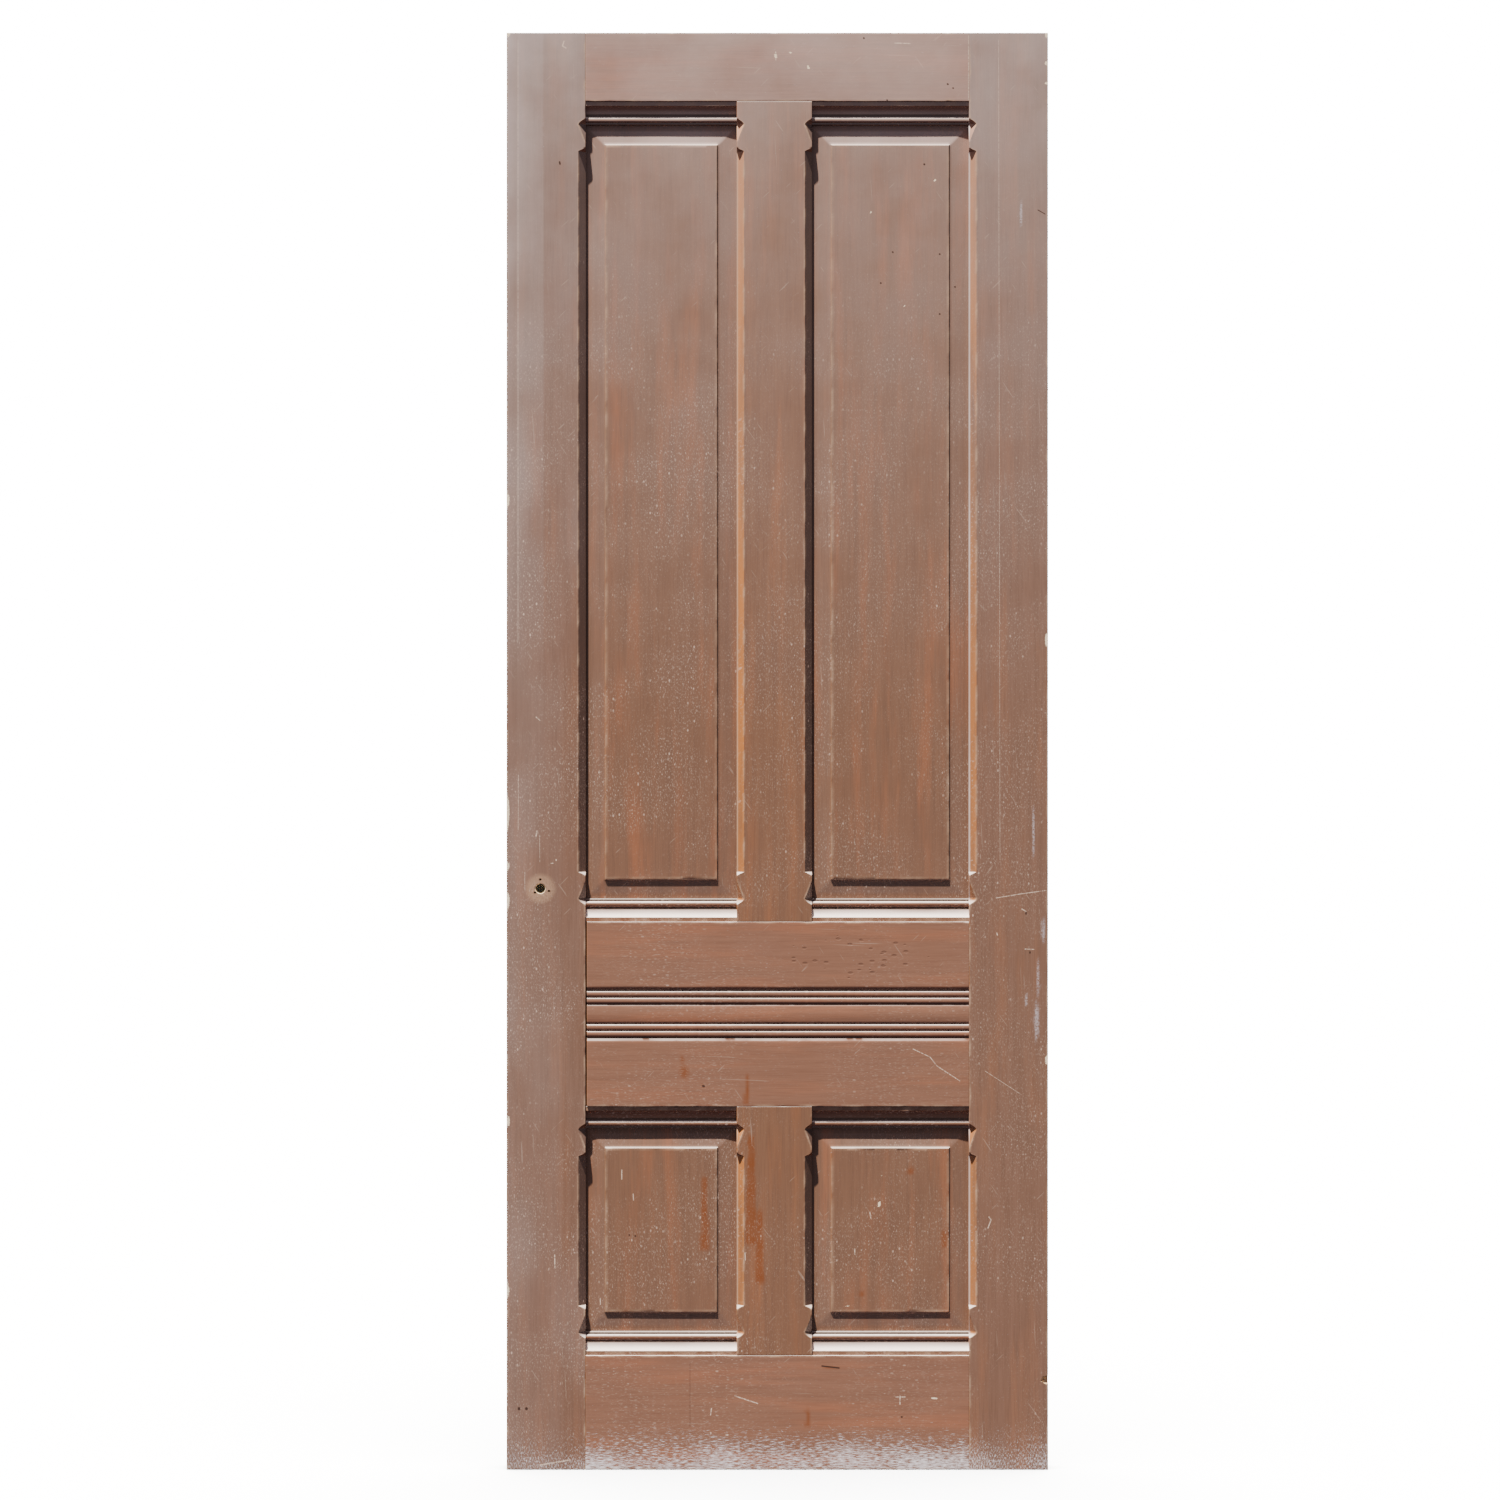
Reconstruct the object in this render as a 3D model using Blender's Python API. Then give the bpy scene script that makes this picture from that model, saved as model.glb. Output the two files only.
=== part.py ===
"""Four-panel door leaf of solid wood, for hanging on three butt hinges.

Stiles, rails and muntins are joined by tenons, and four raised and fielded panels
sit in grooves. On the face, the stiles and muntins have stop chamfers, the lock rail
is reeded, and a moulding is planted at the top and bottom of each panel. The back is
plain. Metres, +Z up. The face looks towards -Y and the hinge edge towards +X. The
origin is on the middle hinge seat, at half the leaf's thickness.
"""
import math
from collections import namedtuple

import bmesh
import bpy
from mathutils import Matrix

MM = 0.001

# The leaf
LEAF_WIDTH = 914.4 * MM
LEAF_HEIGHT = 2426.0 * MM
LEAF_THICKNESS = 44.5 * MM

# Frame members; the muntins stand a little nearer the lock edge than the middle of the leaf
STILE_WIDTH = 133.35 * MM
MUNTIN_WIDTH = 127.0 * MM
MUNTIN_OFFSET = 5.0 * MM
TOP_RAIL_HEIGHT = 115.8 * MM
LOCK_RAIL_HEIGHT = 311.8 * MM
LOCK_RAIL_BASE = 613.3 * MM
BOTTOM_RAIL_HEIGHT = 193.0 * MM

# Joints
CLEARANCE = 0.3 * MM
OPENED_JOINT = 2.2 * MM
TENON_LENGTH = 75.0 * MM
TENON_THICKNESS = 14.0 * MM
TENON_SHOULDER = 18.0 * MM
TOP_TENON_SHOULDER = 30.0 * MM
STUB_LENGTH = 30.0 * MM
STUB_SHOULDER = 16.0 * MM
GROOVE_DEPTH = 12.0 * MM
TONGUE_REACH = 10.0 * MM

# Panels, as depths below the face of the frame and widths across the margin
FIELD_DEPTH = 12.8 * MM
BEVEL_TOP_DEPTH = 16.4 * MM
BEVEL_FOOT_DEPTH = 19.2 * MM
BACK_PANEL_DEPTH = 19.2 * MM
MARGIN_WIDTH = 34.0 * MM
STEP_WIDTH = 2.8 * MM
COVERED_BEVEL = 1.0 * MM

# Planted mouldings on the face, across their width from the edge of the rail
MOULDING_WIDTH = 38.4 * MM
MOULDING_FILLET = 7.6 * MM
MOULDING_FILLET_DEPTH = 2.6 * MM
COVE_WIDTH = 13.2 * MM
COVE_DEPTH = 8.0 * MM
BEAD_WIDTH = 9.7 * MM
BEAD_CREST_DEPTH = 8.6 * MM
QUIRK_WIDTH = 3.9 * MM
QUIRK_DEPTH = 12.0 * MM
OUTER_FILLET_DEPTH = 11.2 * MM
OUTER_GROOVE = 0.6 * MM

# Plain mouldings on the back
BACK_MOULDING_WIDTH = 19.0 * MM
BACK_MOULDING_DROP = 3.0 * MM
BACK_MOULDING_NOSE = 10.2 * MM
BACK_MOULDING_FLAT = 5.0 * MM

# Stop chamfers, along the arris from the edge of the rail
CHAMFER_WIDTH = 12.2 * MM
NOTCH_START = 28.6 * MM
NOTCH_PEAK = 39.5 * MM
NOTCH_END = 72.0 * MM
SHOULDER_START = 74.5 * MM
SHOULDER_END = 83.5 * MM
TAPER_POWER = 1.15
SHOULDER_POWER = 2.4
NOTCH_STEPS = 7
TAPER_STEPS = 6
SHOULDER_STEPS = 7

# Reeded band of the lock rail
REED_AXIS_DROP = 156.0 * MM
REED_SLOPE = 5.2 * MM
REED_QUIRK = 1.8 * MM
REED_BEAD = 9.5 * MM
REED_BAND = 31.8 * MM
REED_FLOOR = 3.2 * MM
REED_CREST = 0.6 * MM
BAND_CROWN = 1.4 * MM
BEAD_STEPS = 10
BEAD_SQUARENESS = 0.8
COVE_STEPS = 9
BAND_STEPS = 8

# Knob and latch
BACKSET = 57.15 * MM
KNOB_HEIGHT = 981.0 * MM
SPINDLE_HOLE = 16.0 * MM
ROSE_SCREW_HOLE = 3.3 * MM
ROSE_SCREW_DEPTH = 11.0 * MM
ROSE_SCREWS = ((0.0, 15.2 * MM), (14.4 * MM, -4.2 * MM), (-8.8 * MM, -6.9 * MM))
LATCH_THICKNESS = 16.0 * MM
LATCH_HEIGHT = 82.0 * MM
LATCH_BEHIND_SPINDLE = 20.0 * MM
FACEPLATE_WIDTH = 26.0 * MM
FACEPLATE_HEIGHT = 112.0 * MM
FACEPLATE_DEPTH = 3.0 * MM

# Hinges
HINGE_HEIGHT = 101.6 * MM
HINGE_LEAF_WIDTH = 38.1 * MM
GAIN_DEPTH = 3.2 * MM
TOP_HINGE_MARGIN = 178.0 * MM
BOTTOM_HINGE_MARGIN = 279.0 * MM

# Broken-out chip at the foot of the hinge stile
CHIP_HEIGHT = 152.0 * MM
CHIP_REACH = 12.0 * MM
CHIP_LENGTH = 15.0 * MM
CHIP_DEPTH = 7.0 * MM

# How far a cutter stands clear of the wood that it enters
OVERSHOOT = 3.0 * MM
CHAMFER_CLEAR = 0.2 * MM

# Places worked out from the sizes
FRONT = -LEAF_THICKNESS / 2
BACK = LEAF_THICKNESS / 2
HINGE_EDGE = GAIN_DEPTH
LOCK_EDGE = HINGE_EDGE - LEAF_WIDTH
MUNTIN_X = (HINGE_EDGE + LOCK_EDGE) / 2 - MUNTIN_OFFSET
TOP_HINGE_Z = LEAF_HEIGHT - TOP_HINGE_MARGIN - HINGE_HEIGHT / 2
BOTTOM_HINGE_Z = BOTTOM_HINGE_MARGIN + HINGE_HEIGHT / 2
MIDDLE_HINGE_Z = (TOP_HINGE_Z + BOTTOM_HINGE_Z) / 2
FOOT = -MIDDLE_HINGE_Z
HEAD = FOOT + LEAF_HEIGHT
LOCK_INNER = LOCK_EDGE + STILE_WIDTH
HINGE_INNER = HINGE_EDGE - STILE_WIDTH
MUNTIN_LEFT = MUNTIN_X - MUNTIN_WIDTH / 2
MUNTIN_RIGHT = MUNTIN_X + MUNTIN_WIDTH / 2
BOTTOM_RAIL_TOP = FOOT + BOTTOM_RAIL_HEIGHT
LOCK_RAIL_BOTTOM = FOOT + LOCK_RAIL_BASE
LOCK_RAIL_TOP = LOCK_RAIL_BOTTOM + LOCK_RAIL_HEIGHT
TOP_RAIL_BOTTOM = HEAD - TOP_RAIL_HEIGHT
TONGUE_FRONT = FRONT + BEVEL_FOOT_DEPTH
TONGUE_BACK = BACK - BACK_PANEL_DEPTH
GROOVE_FRONT = TONGUE_FRONT - CLEARANCE
GROOVE_BACK = TONGUE_BACK + CLEARANCE

Opening = namedtuple("Opening", "name left right bottom top")
OPENINGS = (
    Opening("upper_lock_side", LOCK_INNER, MUNTIN_LEFT, LOCK_RAIL_TOP, TOP_RAIL_BOTTOM),
    Opening("upper_hinge_side", MUNTIN_RIGHT, HINGE_INNER, LOCK_RAIL_TOP, TOP_RAIL_BOTTOM),
    Opening("lower_lock_side", LOCK_INNER, MUNTIN_LEFT, BOTTOM_RAIL_TOP, LOCK_RAIL_BOTTOM),
    Opening("lower_hinge_side", MUNTIN_RIGHT, HINGE_INNER, BOTTOM_RAIL_TOP, LOCK_RAIL_BOTTOM),
)

for old in list(bpy.data.objects):
    bpy.data.objects.remove(old)

door = bpy.data.collections.new("door")
cutters = bpy.data.collections.new("cutters")
bpy.context.scene.collection.children.link(door)
bpy.context.scene.collection.children.link(cutters)


def object_from(name, mesh, collection):
    """Put a mesh into the scene as a named object of a collection."""
    thing = bpy.data.objects.new(name, mesh)
    collection.objects.link(thing)
    if collection is cutters:
        thing.hide_render = True
        thing.display_type = "WIRE"
    return thing


def box(name, x_span, y_span, z_span, collection=cutters):
    """Box between the two ends of each span."""
    mesh = bpy.data.meshes.new(name)
    shape = bmesh.new()
    bmesh.ops.create_cube(shape, size=1.0)
    spans = (x_span, y_span, z_span)
    size = [high - low for low, high in spans]
    centre = [(high + low) / 2 for low, high in spans]
    bmesh.ops.scale(shape, vec=size, verts=shape.verts)
    shape.to_mesh(mesh)
    shape.free()
    thing = object_from(name, mesh, collection)
    thing.location = centre
    return thing


def drill(name, diameter, start, end, sides):
    """Round cutter along Y from start to end, both given as (x, y, z)."""
    mesh = bpy.data.meshes.new(name)
    shape = bmesh.new()
    length = end[1] - start[1]
    bmesh.ops.create_cone(shape, cap_ends=True, segments=sides, radius1=diameter / 2,
                          radius2=diameter / 2, depth=length)
    bmesh.ops.rotate(shape, matrix=Matrix.Rotation(math.radians(90), 3, "X"), verts=shape.verts)
    shape.to_mesh(mesh)
    shape.free()
    thing = object_from(name, mesh, cutters)
    thing.location = (start[0], (start[1] + end[1]) / 2, start[2])
    return thing


def run_along_x(name, outline, left, right, collection):
    """Solid with one cross-section, a list of (y, z) points, from left to right along X."""
    curve = bpy.data.curves.new(name + "_outline", "CURVE")
    curve.dimensions = "2D"
    curve.fill_mode = "BOTH"
    curve.extrude = (right - left) / 2
    spline = curve.splines.new("POLY")
    spline.points.add(len(outline) - 1)
    for point, (y, z) in zip(spline.points, outline):
        point.co = (y, z, 0.0, 1.0)
    spline.use_cyclic_u = True
    drawn = object_from(name + "_outline", curve, cutters)
    # The outline's first axis goes to Y, its second to Z and its extrusion to X
    turn = Matrix(((0, 0, 1), (1, 0, 0), (0, 1, 0))).to_4x4()
    place = Matrix.Translation(((left + right) / 2, 0, 0)) @ turn
    bpy.context.view_layer.update()
    mesh = bpy.data.meshes.new_from_object(drawn.evaluated_get(bpy.context.evaluated_depsgraph_get()))
    bpy.data.objects.remove(drawn)
    shape = bmesh.new()
    shape.from_mesh(mesh)
    bmesh.ops.remove_doubles(shape, verts=shape.verts, dist=0.01 * MM)
    shape.to_mesh(mesh)
    shape.free()
    mesh.name = name
    thing = object_from(name, mesh, collection)
    thing.matrix_world = place
    return thing


def loft(name, rings, collection):
    """Solid through a row of rings of (x, y, z) points, closed by the first and the last."""
    shape = bmesh.new()
    rows = [[shape.verts.new(point) for point in ring] for ring in rings]
    shape.faces.new(rows[0])
    shape.faces.new(list(reversed(rows[-1])))
    for row, following in zip(rows, rows[1:]):
        for index in range(len(row)):
            after = (index + 1) % len(row)
            shape.faces.new((row[index], following[index], following[after], row[after]))
    bmesh.ops.recalc_face_normals(shape, faces=shape.faces)
    mesh = bpy.data.meshes.new(name)
    shape.to_mesh(mesh)
    shape.free()
    return object_from(name, mesh, collection)


def combine(target, other, operation):
    """Boolean modifier that cuts the other object from the target or joins it on."""
    modifier = target.modifiers.new(other.name, "BOOLEAN")
    modifier.operation = operation
    modifier.solver = "EXACT"
    modifier.object = other


def cut(target, *others):
    for other in others:
        combine(target, other, "DIFFERENCE")


def join(target, *others):
    for other in others:
        combine(target, other, "UNION")


def varnished_wood(thing, colour, roughness):
    """Give an object its own material: old brown varnish over wood."""
    material = bpy.data.materials.new(thing.name + "_varnished_wood")
    material.use_nodes = True
    shader = material.node_tree.nodes["Principled BSDF"]
    shader.inputs["Base Color"].default_value = (*colour, 1.0)
    shader.inputs["Roughness"].default_value = roughness
    shader.inputs["Metallic"].default_value = 0.0
    thing.data.materials.append(material)


def chamfer_width(along):
    """Width of the stop chamfer at a distance along the arris from the edge of the rail.

    A round notch opens to full width, a nearly straight taper runs out to nothing, the
    arris stays square for a moment, and a flaring shoulder opens the long chamfer.
    """
    if along < NOTCH_START:
        return 0.0
    if along < NOTCH_PEAK:
        share = (along - NOTCH_START) / (NOTCH_PEAK - NOTCH_START)
        return CHAMFER_WIDTH * math.sin(math.pi / 2 * share)
    if along < NOTCH_END:
        share = (along - NOTCH_PEAK) / (NOTCH_END - NOTCH_PEAK)
        return CHAMFER_WIDTH * (1 - share) ** TAPER_POWER
    if along < SHOULDER_START:
        return 0.0
    if along < SHOULDER_END:
        share = (along - SHOULDER_START) / (SHOULDER_END - SHOULDER_START)
        return CHAMFER_WIDTH * share ** SHOULDER_POWER
    return CHAMFER_WIDTH


def steps(start, end, count):
    return [start + (end - start) * index / count for index in range(count + 1)]


def chamfer_cutter(name, arris_x, inward, bottom, top):
    """Cutter for the stop chamfer of one arris; inward is the X side on which the wood is."""
    stations = [NOTCH_START - OVERSHOOT]
    stations += steps(NOTCH_START, NOTCH_PEAK, NOTCH_STEPS)
    stations += steps(NOTCH_PEAK, NOTCH_END, TAPER_STEPS)[1:]
    flare = [share ** (1 / SHOULDER_POWER) for share in steps(0, 1, SHOULDER_STEPS)]
    stations += [SHOULDER_START + (SHOULDER_END - SHOULDER_START) * share for share in flare]
    levels = [(bottom + along, along) for along in stations]
    levels += [(top - along, along) for along in reversed(stations)]
    rings = []
    for z, along in levels:
        width = chamfer_width(along) - CHAMFER_CLEAR
        reach = width + OVERSHOOT
        rings.append((
            (arris_x + inward * reach, FRONT - OVERSHOOT, z),
            (arris_x - inward * OVERSHOOT, FRONT + reach, z),
            (arris_x - inward * OVERSHOOT, FRONT - OVERSHOOT, z),
        ))
    return loft(name, rings, cutters)


def half_round(start, width, base, rise, count):
    """Points (across, depth) over a bead that rises from its base, a little squarer than an arc."""
    points = []
    for index in range(count + 1):
        angle = math.pi * index / count
        across = start + width * (1 - math.cos(angle)) / 2
        points.append((across, base - rise * math.sin(angle) ** BEAD_SQUARENESS))
    return points


def reed_section():
    """Points (across, depth) over the reeded band, from its top edge to its bottom edge."""
    points = [(0.0, 0.0)]
    across = REED_SLOPE
    for run in ("bead", "bead", "band", "bead", "bead"):
        points.append((across, REED_FLOOR))
        across += REED_QUIRK
        if run == "bead":
            points += half_round(across, REED_BEAD, REED_FLOOR, REED_FLOOR - REED_CREST, BEAD_STEPS)
            across += REED_BEAD
        else:
            points.append((across, REED_FLOOR))
            for share in steps(-1, 1, BAND_STEPS):
                depth = REED_CREST + BAND_CROWN * share ** 2
                points.append((across + REED_BAND * (share + 1) / 2, depth))
            across += REED_BAND
            points.append((across, REED_FLOOR))
    across += REED_QUIRK
    points.append((across, REED_FLOOR))
    points.append((across + REED_SLOPE, 0.0))
    return points


def moulding_section():
    """Points (across, depth) over a planted moulding: fillet, cove, quirk, bead and fillet."""
    points = [(CLEARANCE, MOULDING_FILLET_DEPTH), (MOULDING_FILLET, MOULDING_FILLET_DEPTH)]
    for share in steps(0, 1, COVE_STEPS):
        angle = math.pi / 2 * share
        points.append((MOULDING_FILLET + COVE_WIDTH * (1 - math.cos(angle)),
                       MOULDING_FILLET_DEPTH + COVE_DEPTH * math.sin(angle)))
    quirk = MOULDING_FILLET + COVE_WIDTH
    points.append((quirk, QUIRK_DEPTH))
    bead = quirk + QUIRK_WIDTH
    points += half_round(bead, BEAD_WIDTH, QUIRK_DEPTH, QUIRK_DEPTH - BEAD_CREST_DEPTH, BEAD_STEPS)
    fillet = bead + BEAD_WIDTH + OUTER_GROOVE
    points.append((fillet, QUIRK_DEPTH))
    points.append((fillet, OUTER_FILLET_DEPTH))
    points.append((MOULDING_WIDTH, OUTER_FILLET_DEPTH))
    return without_repeats(points)


def without_repeats(points):
    kept = points[:1]
    for point in points[1:]:
        if math.dist(point, kept[-1]) > 0.01 * MM:
            kept.append(point)
    return kept


def frame_post(name, x_span, z_span):
    return box(name, x_span, (FRONT, BACK), z_span, door)


def mortise(name, x_span, z_span, thickness):
    """Cutter for a tenon of this size, with clearance all round."""
    half = thickness / 2 + CLEARANCE
    return box(name, (x_span[0] - CLEARANCE, x_span[1] + CLEARANCE), (-half, half),
               (z_span[0] - CLEARANCE, z_span[1] + CLEARANCE))


def groove(name, x_span, z_span):
    return box(name, x_span, (GROOVE_FRONT, GROOVE_BACK), z_span)


def rail_tenon_spans():
    """Height spans of the three rails' tenons, keyed by the rail's name."""
    return {
        "top_rail": (TOP_RAIL_BOTTOM + TENON_SHOULDER, HEAD - TOP_TENON_SHOULDER),
        "lock_rail": (LOCK_RAIL_BOTTOM + TENON_SHOULDER, LOCK_RAIL_TOP - TENON_SHOULDER),
        "bottom_rail": (FOOT + TOP_TENON_SHOULDER, BOTTOM_RAIL_TOP - TENON_SHOULDER),
    }


def make_stile(name, outer, inner, inward):
    """Stile from its outer edge to its inner edge; inward is the X side of its wood."""
    stile = frame_post(name, sorted((outer, inner)), (FOOT, HEAD))
    for rail, span in rail_tenon_spans().items():
        reach = sorted((inner - inward * OVERSHOOT, inner + inward * TENON_LENGTH))
        cut(stile, mortise(f"{name}_{rail}_mortise", reach, span, TENON_THICKNESS))
    for level, bottom, top in (("upper", LOCK_RAIL_TOP, TOP_RAIL_BOTTOM),
                               ("lower", BOTTOM_RAIL_TOP, LOCK_RAIL_BOTTOM)):
        across = sorted((inner - inward * OVERSHOOT, inner + inward * GROOVE_DEPTH))
        cut(stile, groove(f"{name}_{level}_groove", across,
                          (bottom - GROOVE_DEPTH, top + GROOVE_DEPTH)))
        cut(stile, chamfer_cutter(f"{name}_{level}_chamfer", inner, inward, bottom, top))
    return stile


def make_lock_stile():
    stile = make_stile("lock_stile", LOCK_EDGE, LOCK_INNER, -1)
    knob_x = LOCK_EDGE + BACKSET
    knob_z = FOOT + KNOB_HEIGHT
    half_latch = LATCH_THICKNESS / 2
    cut(stile, box("latch_mortise",
                   (LOCK_EDGE - OVERSHOOT, knob_x + LATCH_BEHIND_SPINDLE),
                   (-half_latch, half_latch),
                   (knob_z - LATCH_HEIGHT / 2, knob_z + LATCH_HEIGHT / 2)))
    cut(stile, box("faceplate_recess",
                   (LOCK_EDGE - OVERSHOOT, LOCK_EDGE + FACEPLATE_DEPTH),
                   (-FACEPLATE_WIDTH / 2, FACEPLATE_WIDTH / 2),
                   (knob_z - FACEPLATE_HEIGHT / 2, knob_z + FACEPLATE_HEIGHT / 2)))
    cut(stile, drill("spindle_hole", SPINDLE_HOLE, (knob_x, FRONT - OVERSHOOT, knob_z),
                     (knob_x, 0.0, knob_z), 20))
    for number, (right, up) in enumerate(ROSE_SCREWS, start=1):
        x = knob_x + right
        z = knob_z + up
        cut(stile, drill(f"rose_screw_hole_{number}", ROSE_SCREW_HOLE,
                         (x, FRONT - OVERSHOOT, z), (x, FRONT + ROSE_SCREW_DEPTH, z), 8))
    return stile


def make_hinge_stile():
    stile = make_stile("hinge_stile", HINGE_EDGE, HINGE_INNER, 1)
    for name, height in (("top", TOP_HINGE_Z), ("middle", MIDDLE_HINGE_Z), ("bottom", BOTTOM_HINGE_Z)):
        z = FOOT + height
        cut(stile, box(f"{name}_hinge_gain",
                       (HINGE_EDGE - GAIN_DEPTH, HINGE_EDGE + OVERSHOOT),
                       (BACK - HINGE_LEAF_WIDTH, BACK + OVERSHOOT),
                       (z - HINGE_HEIGHT / 2, z + HINGE_HEIGHT / 2)))
    cut(stile, chip_cutter())
    return stile


def chip_cutter():
    """Rough ball, stretched over the arris, for the chip broken out of it."""
    mesh = bpy.data.meshes.new("foot_chip")
    shape = bmesh.new()
    bmesh.ops.create_icosphere(shape, subdivisions=2, radius=1.0)
    bmesh.ops.scale(shape, vec=(CHIP_REACH, CHIP_DEPTH, CHIP_LENGTH / 2), verts=shape.verts)
    shape.to_mesh(mesh)
    shape.free()
    thing = object_from("foot_chip", mesh, cutters)
    thing.location = (HINGE_EDGE, FRONT, FOOT + CHIP_HEIGHT)
    thing.rotation_euler = (0.0, math.radians(12), 0.0)
    return thing


def make_rail(name, bottom, top, grooved, left_gap):
    """Rail between the stiles with a tenon at each end; grooved lists its grooved edges."""
    left = LOCK_INNER + left_gap
    right = HINGE_INNER - CLEARANCE
    rail = frame_post(name, (left, right), (bottom, top))
    tenon_span = rail_tenon_spans()[name]
    for side, shoulder, outward in (("lock", LOCK_INNER, -1), ("hinge", HINGE_INNER, 1)):
        reach = sorted((shoulder - outward * 5 * OVERSHOOT, shoulder + outward * TENON_LENGTH))
        half = TENON_THICKNESS / 2
        join(rail, box(f"{name}_{side}_tenon", reach, (-half, half), tenon_span))
    for edge in grooved:
        z, into = (top, -1) if edge == "top" else (bottom, 1)
        span = sorted((z - into * OVERSHOOT, z + into * GROOVE_DEPTH))
        cut(rail, groove(f"{name}_{edge}_groove", (left - OVERSHOOT, right + OVERSHOOT), span))
        stub = sorted((z - into * OVERSHOOT, z + into * STUB_LENGTH))
        half_stub = MUNTIN_WIDTH / 2 - STUB_SHOULDER
        cut(rail, mortise(f"{name}_{edge}_stub_mortise", (MUNTIN_X - half_stub, MUNTIN_X + half_stub),
                          stub, TONGUE_BACK - TONGUE_FRONT))
    return rail


def make_lock_rail():
    rail = make_rail("lock_rail", LOCK_RAIL_BOTTOM, LOCK_RAIL_TOP, ("top", "bottom"), OPENED_JOINT)
    section = reed_section()
    band_top = LOCK_RAIL_TOP - REED_AXIS_DROP + section[-1][0] / 2
    outline = [(FRONT + depth, band_top - across) for across, depth in without_repeats(section)]
    # The cutter's own ends stand off the face, in line with the two slopes
    rise = OVERSHOOT * REED_SLOPE / REED_FLOOR
    outline.insert(0, (FRONT - OVERSHOOT, outline[0][1] + rise))
    outline.append((FRONT - OVERSHOOT, outline[-1][1] - rise))
    cut(rail, run_along_x("reeds", outline, LOCK_INNER - TENON_LENGTH, HINGE_INNER + TENON_LENGTH,
                          cutters))
    return rail


def make_muntin(name, bottom, top):
    muntin = frame_post(name, (MUNTIN_LEFT, MUNTIN_RIGHT), (bottom + CLEARANCE, top - CLEARANCE))
    half_stub = MUNTIN_WIDTH / 2 - STUB_SHOULDER
    for end, edge, outward in (("foot", bottom, -1), ("head", top, 1)):
        reach = sorted((edge - outward * 5 * OVERSHOOT, edge + outward * STUB_LENGTH))
        join(muntin, box(f"{name}_{end}_stub", (MUNTIN_X - half_stub, MUNTIN_X + half_stub),
                         (TONGUE_FRONT, TONGUE_BACK), reach))
    for side, x, inward in (("left", MUNTIN_LEFT, 1), ("right", MUNTIN_RIGHT, -1)):
        across = sorted((x - inward * OVERSHOOT, x + inward * GROOVE_DEPTH))
        cut(muntin, groove(f"{name}_{side}_groove", across, (bottom - OVERSHOOT, top + OVERSHOOT)))
        cut(muntin, chamfer_cutter(f"{name}_{side}_chamfer", x, inward, bottom, top))
    return muntin


def rectangle(opening, side_inset, end_inset, y):
    """Ring of the opening's four corners, moved in by the insets, at a depth y."""
    left = opening.left + side_inset
    right = opening.right - side_inset
    bottom = opening.bottom + end_inset
    top = opening.top - end_inset
    return ((left, y, bottom), (right, y, bottom), (right, y, top), (left, y, top))


def make_panel(opening):
    """Panel with a tongue all round, a bevelled margin and a raised field on the face."""
    foot_inset = MOULDING_WIDTH - COVERED_BEVEL
    field_inset = MOULDING_WIDTH + MARGIN_WIDTH
    rings = (
        rectangle(opening, -TONGUE_REACH, -TONGUE_REACH, TONGUE_BACK),
        rectangle(opening, -TONGUE_REACH, -TONGUE_REACH, TONGUE_FRONT),
        rectangle(opening, 0.0, foot_inset, TONGUE_FRONT),
        rectangle(opening, MARGIN_WIDTH - STEP_WIDTH, field_inset - STEP_WIDTH,
                  FRONT + BEVEL_TOP_DEPTH),
        rectangle(opening, MARGIN_WIDTH, field_inset, FRONT + FIELD_DEPTH),
    )
    return loft(f"panel_{opening.name}", rings, door)


def make_mouldings(opening):
    """Mouldings at both ends of an opening: shaped ones on the face, plain ones on the back."""
    made = []
    left = opening.left + CLEARANCE
    right = opening.right - CLEARANCE
    nose = BACK_PANEL_DEPTH - BACK_MOULDING_NOSE
    plain = ((CLEARANCE, BACK_MOULDING_DROP), (BACK_MOULDING_FLAT, BACK_MOULDING_DROP),
             (BACK_MOULDING_WIDTH, nose))
    for end, edge, away in (("bottom", opening.bottom, 1), ("top", opening.top, -1)):
        shaped = [(FRONT + depth, edge + away * across) for across, depth in moulding_section()]
        shaped.append((TONGUE_FRONT - CLEARANCE, edge + away * MOULDING_WIDTH))
        shaped.append((TONGUE_FRONT - CLEARANCE, edge + away * CLEARANCE))
        made.append(run_along_x(f"moulding_{opening.name}_{end}", shaped, left, right, door))
        flat = [(BACK - depth, edge + away * across) for across, depth in plain]
        flat.append((TONGUE_BACK + CLEARANCE, edge + away * BACK_MOULDING_WIDTH))
        flat.append((TONGUE_BACK + CLEARANCE, edge + away * CLEARANCE))
        made.append(run_along_x(f"back_moulding_{opening.name}_{end}", flat, left, right, door))
    return made


STILE_COLOUR = (0.245, 0.150, 0.110)
RAIL_COLOUR = (0.290, 0.140, 0.098)
PANEL_COLOUR = (0.265, 0.150, 0.108)
MOULDING_COLOUR = (0.275, 0.135, 0.100)

leaf = bpy.data.objects.new("leaf", None)
door.objects.link(leaf)
stiles = [make_lock_stile(), make_hinge_stile()]
rails = [
    make_rail("top_rail", TOP_RAIL_BOTTOM, HEAD, ("bottom",), CLEARANCE),
    make_lock_rail(),
    make_rail("bottom_rail", FOOT, BOTTOM_RAIL_TOP, ("top",), CLEARANCE),
]
muntins = [
    make_muntin("upper_muntin", LOCK_RAIL_TOP, TOP_RAIL_BOTTOM),
    make_muntin("lower_muntin", BOTTOM_RAIL_TOP, LOCK_RAIL_BOTTOM),
]
panels = [make_panel(opening) for opening in OPENINGS]
mouldings = [piece for opening in OPENINGS for piece in make_mouldings(opening)]

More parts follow.
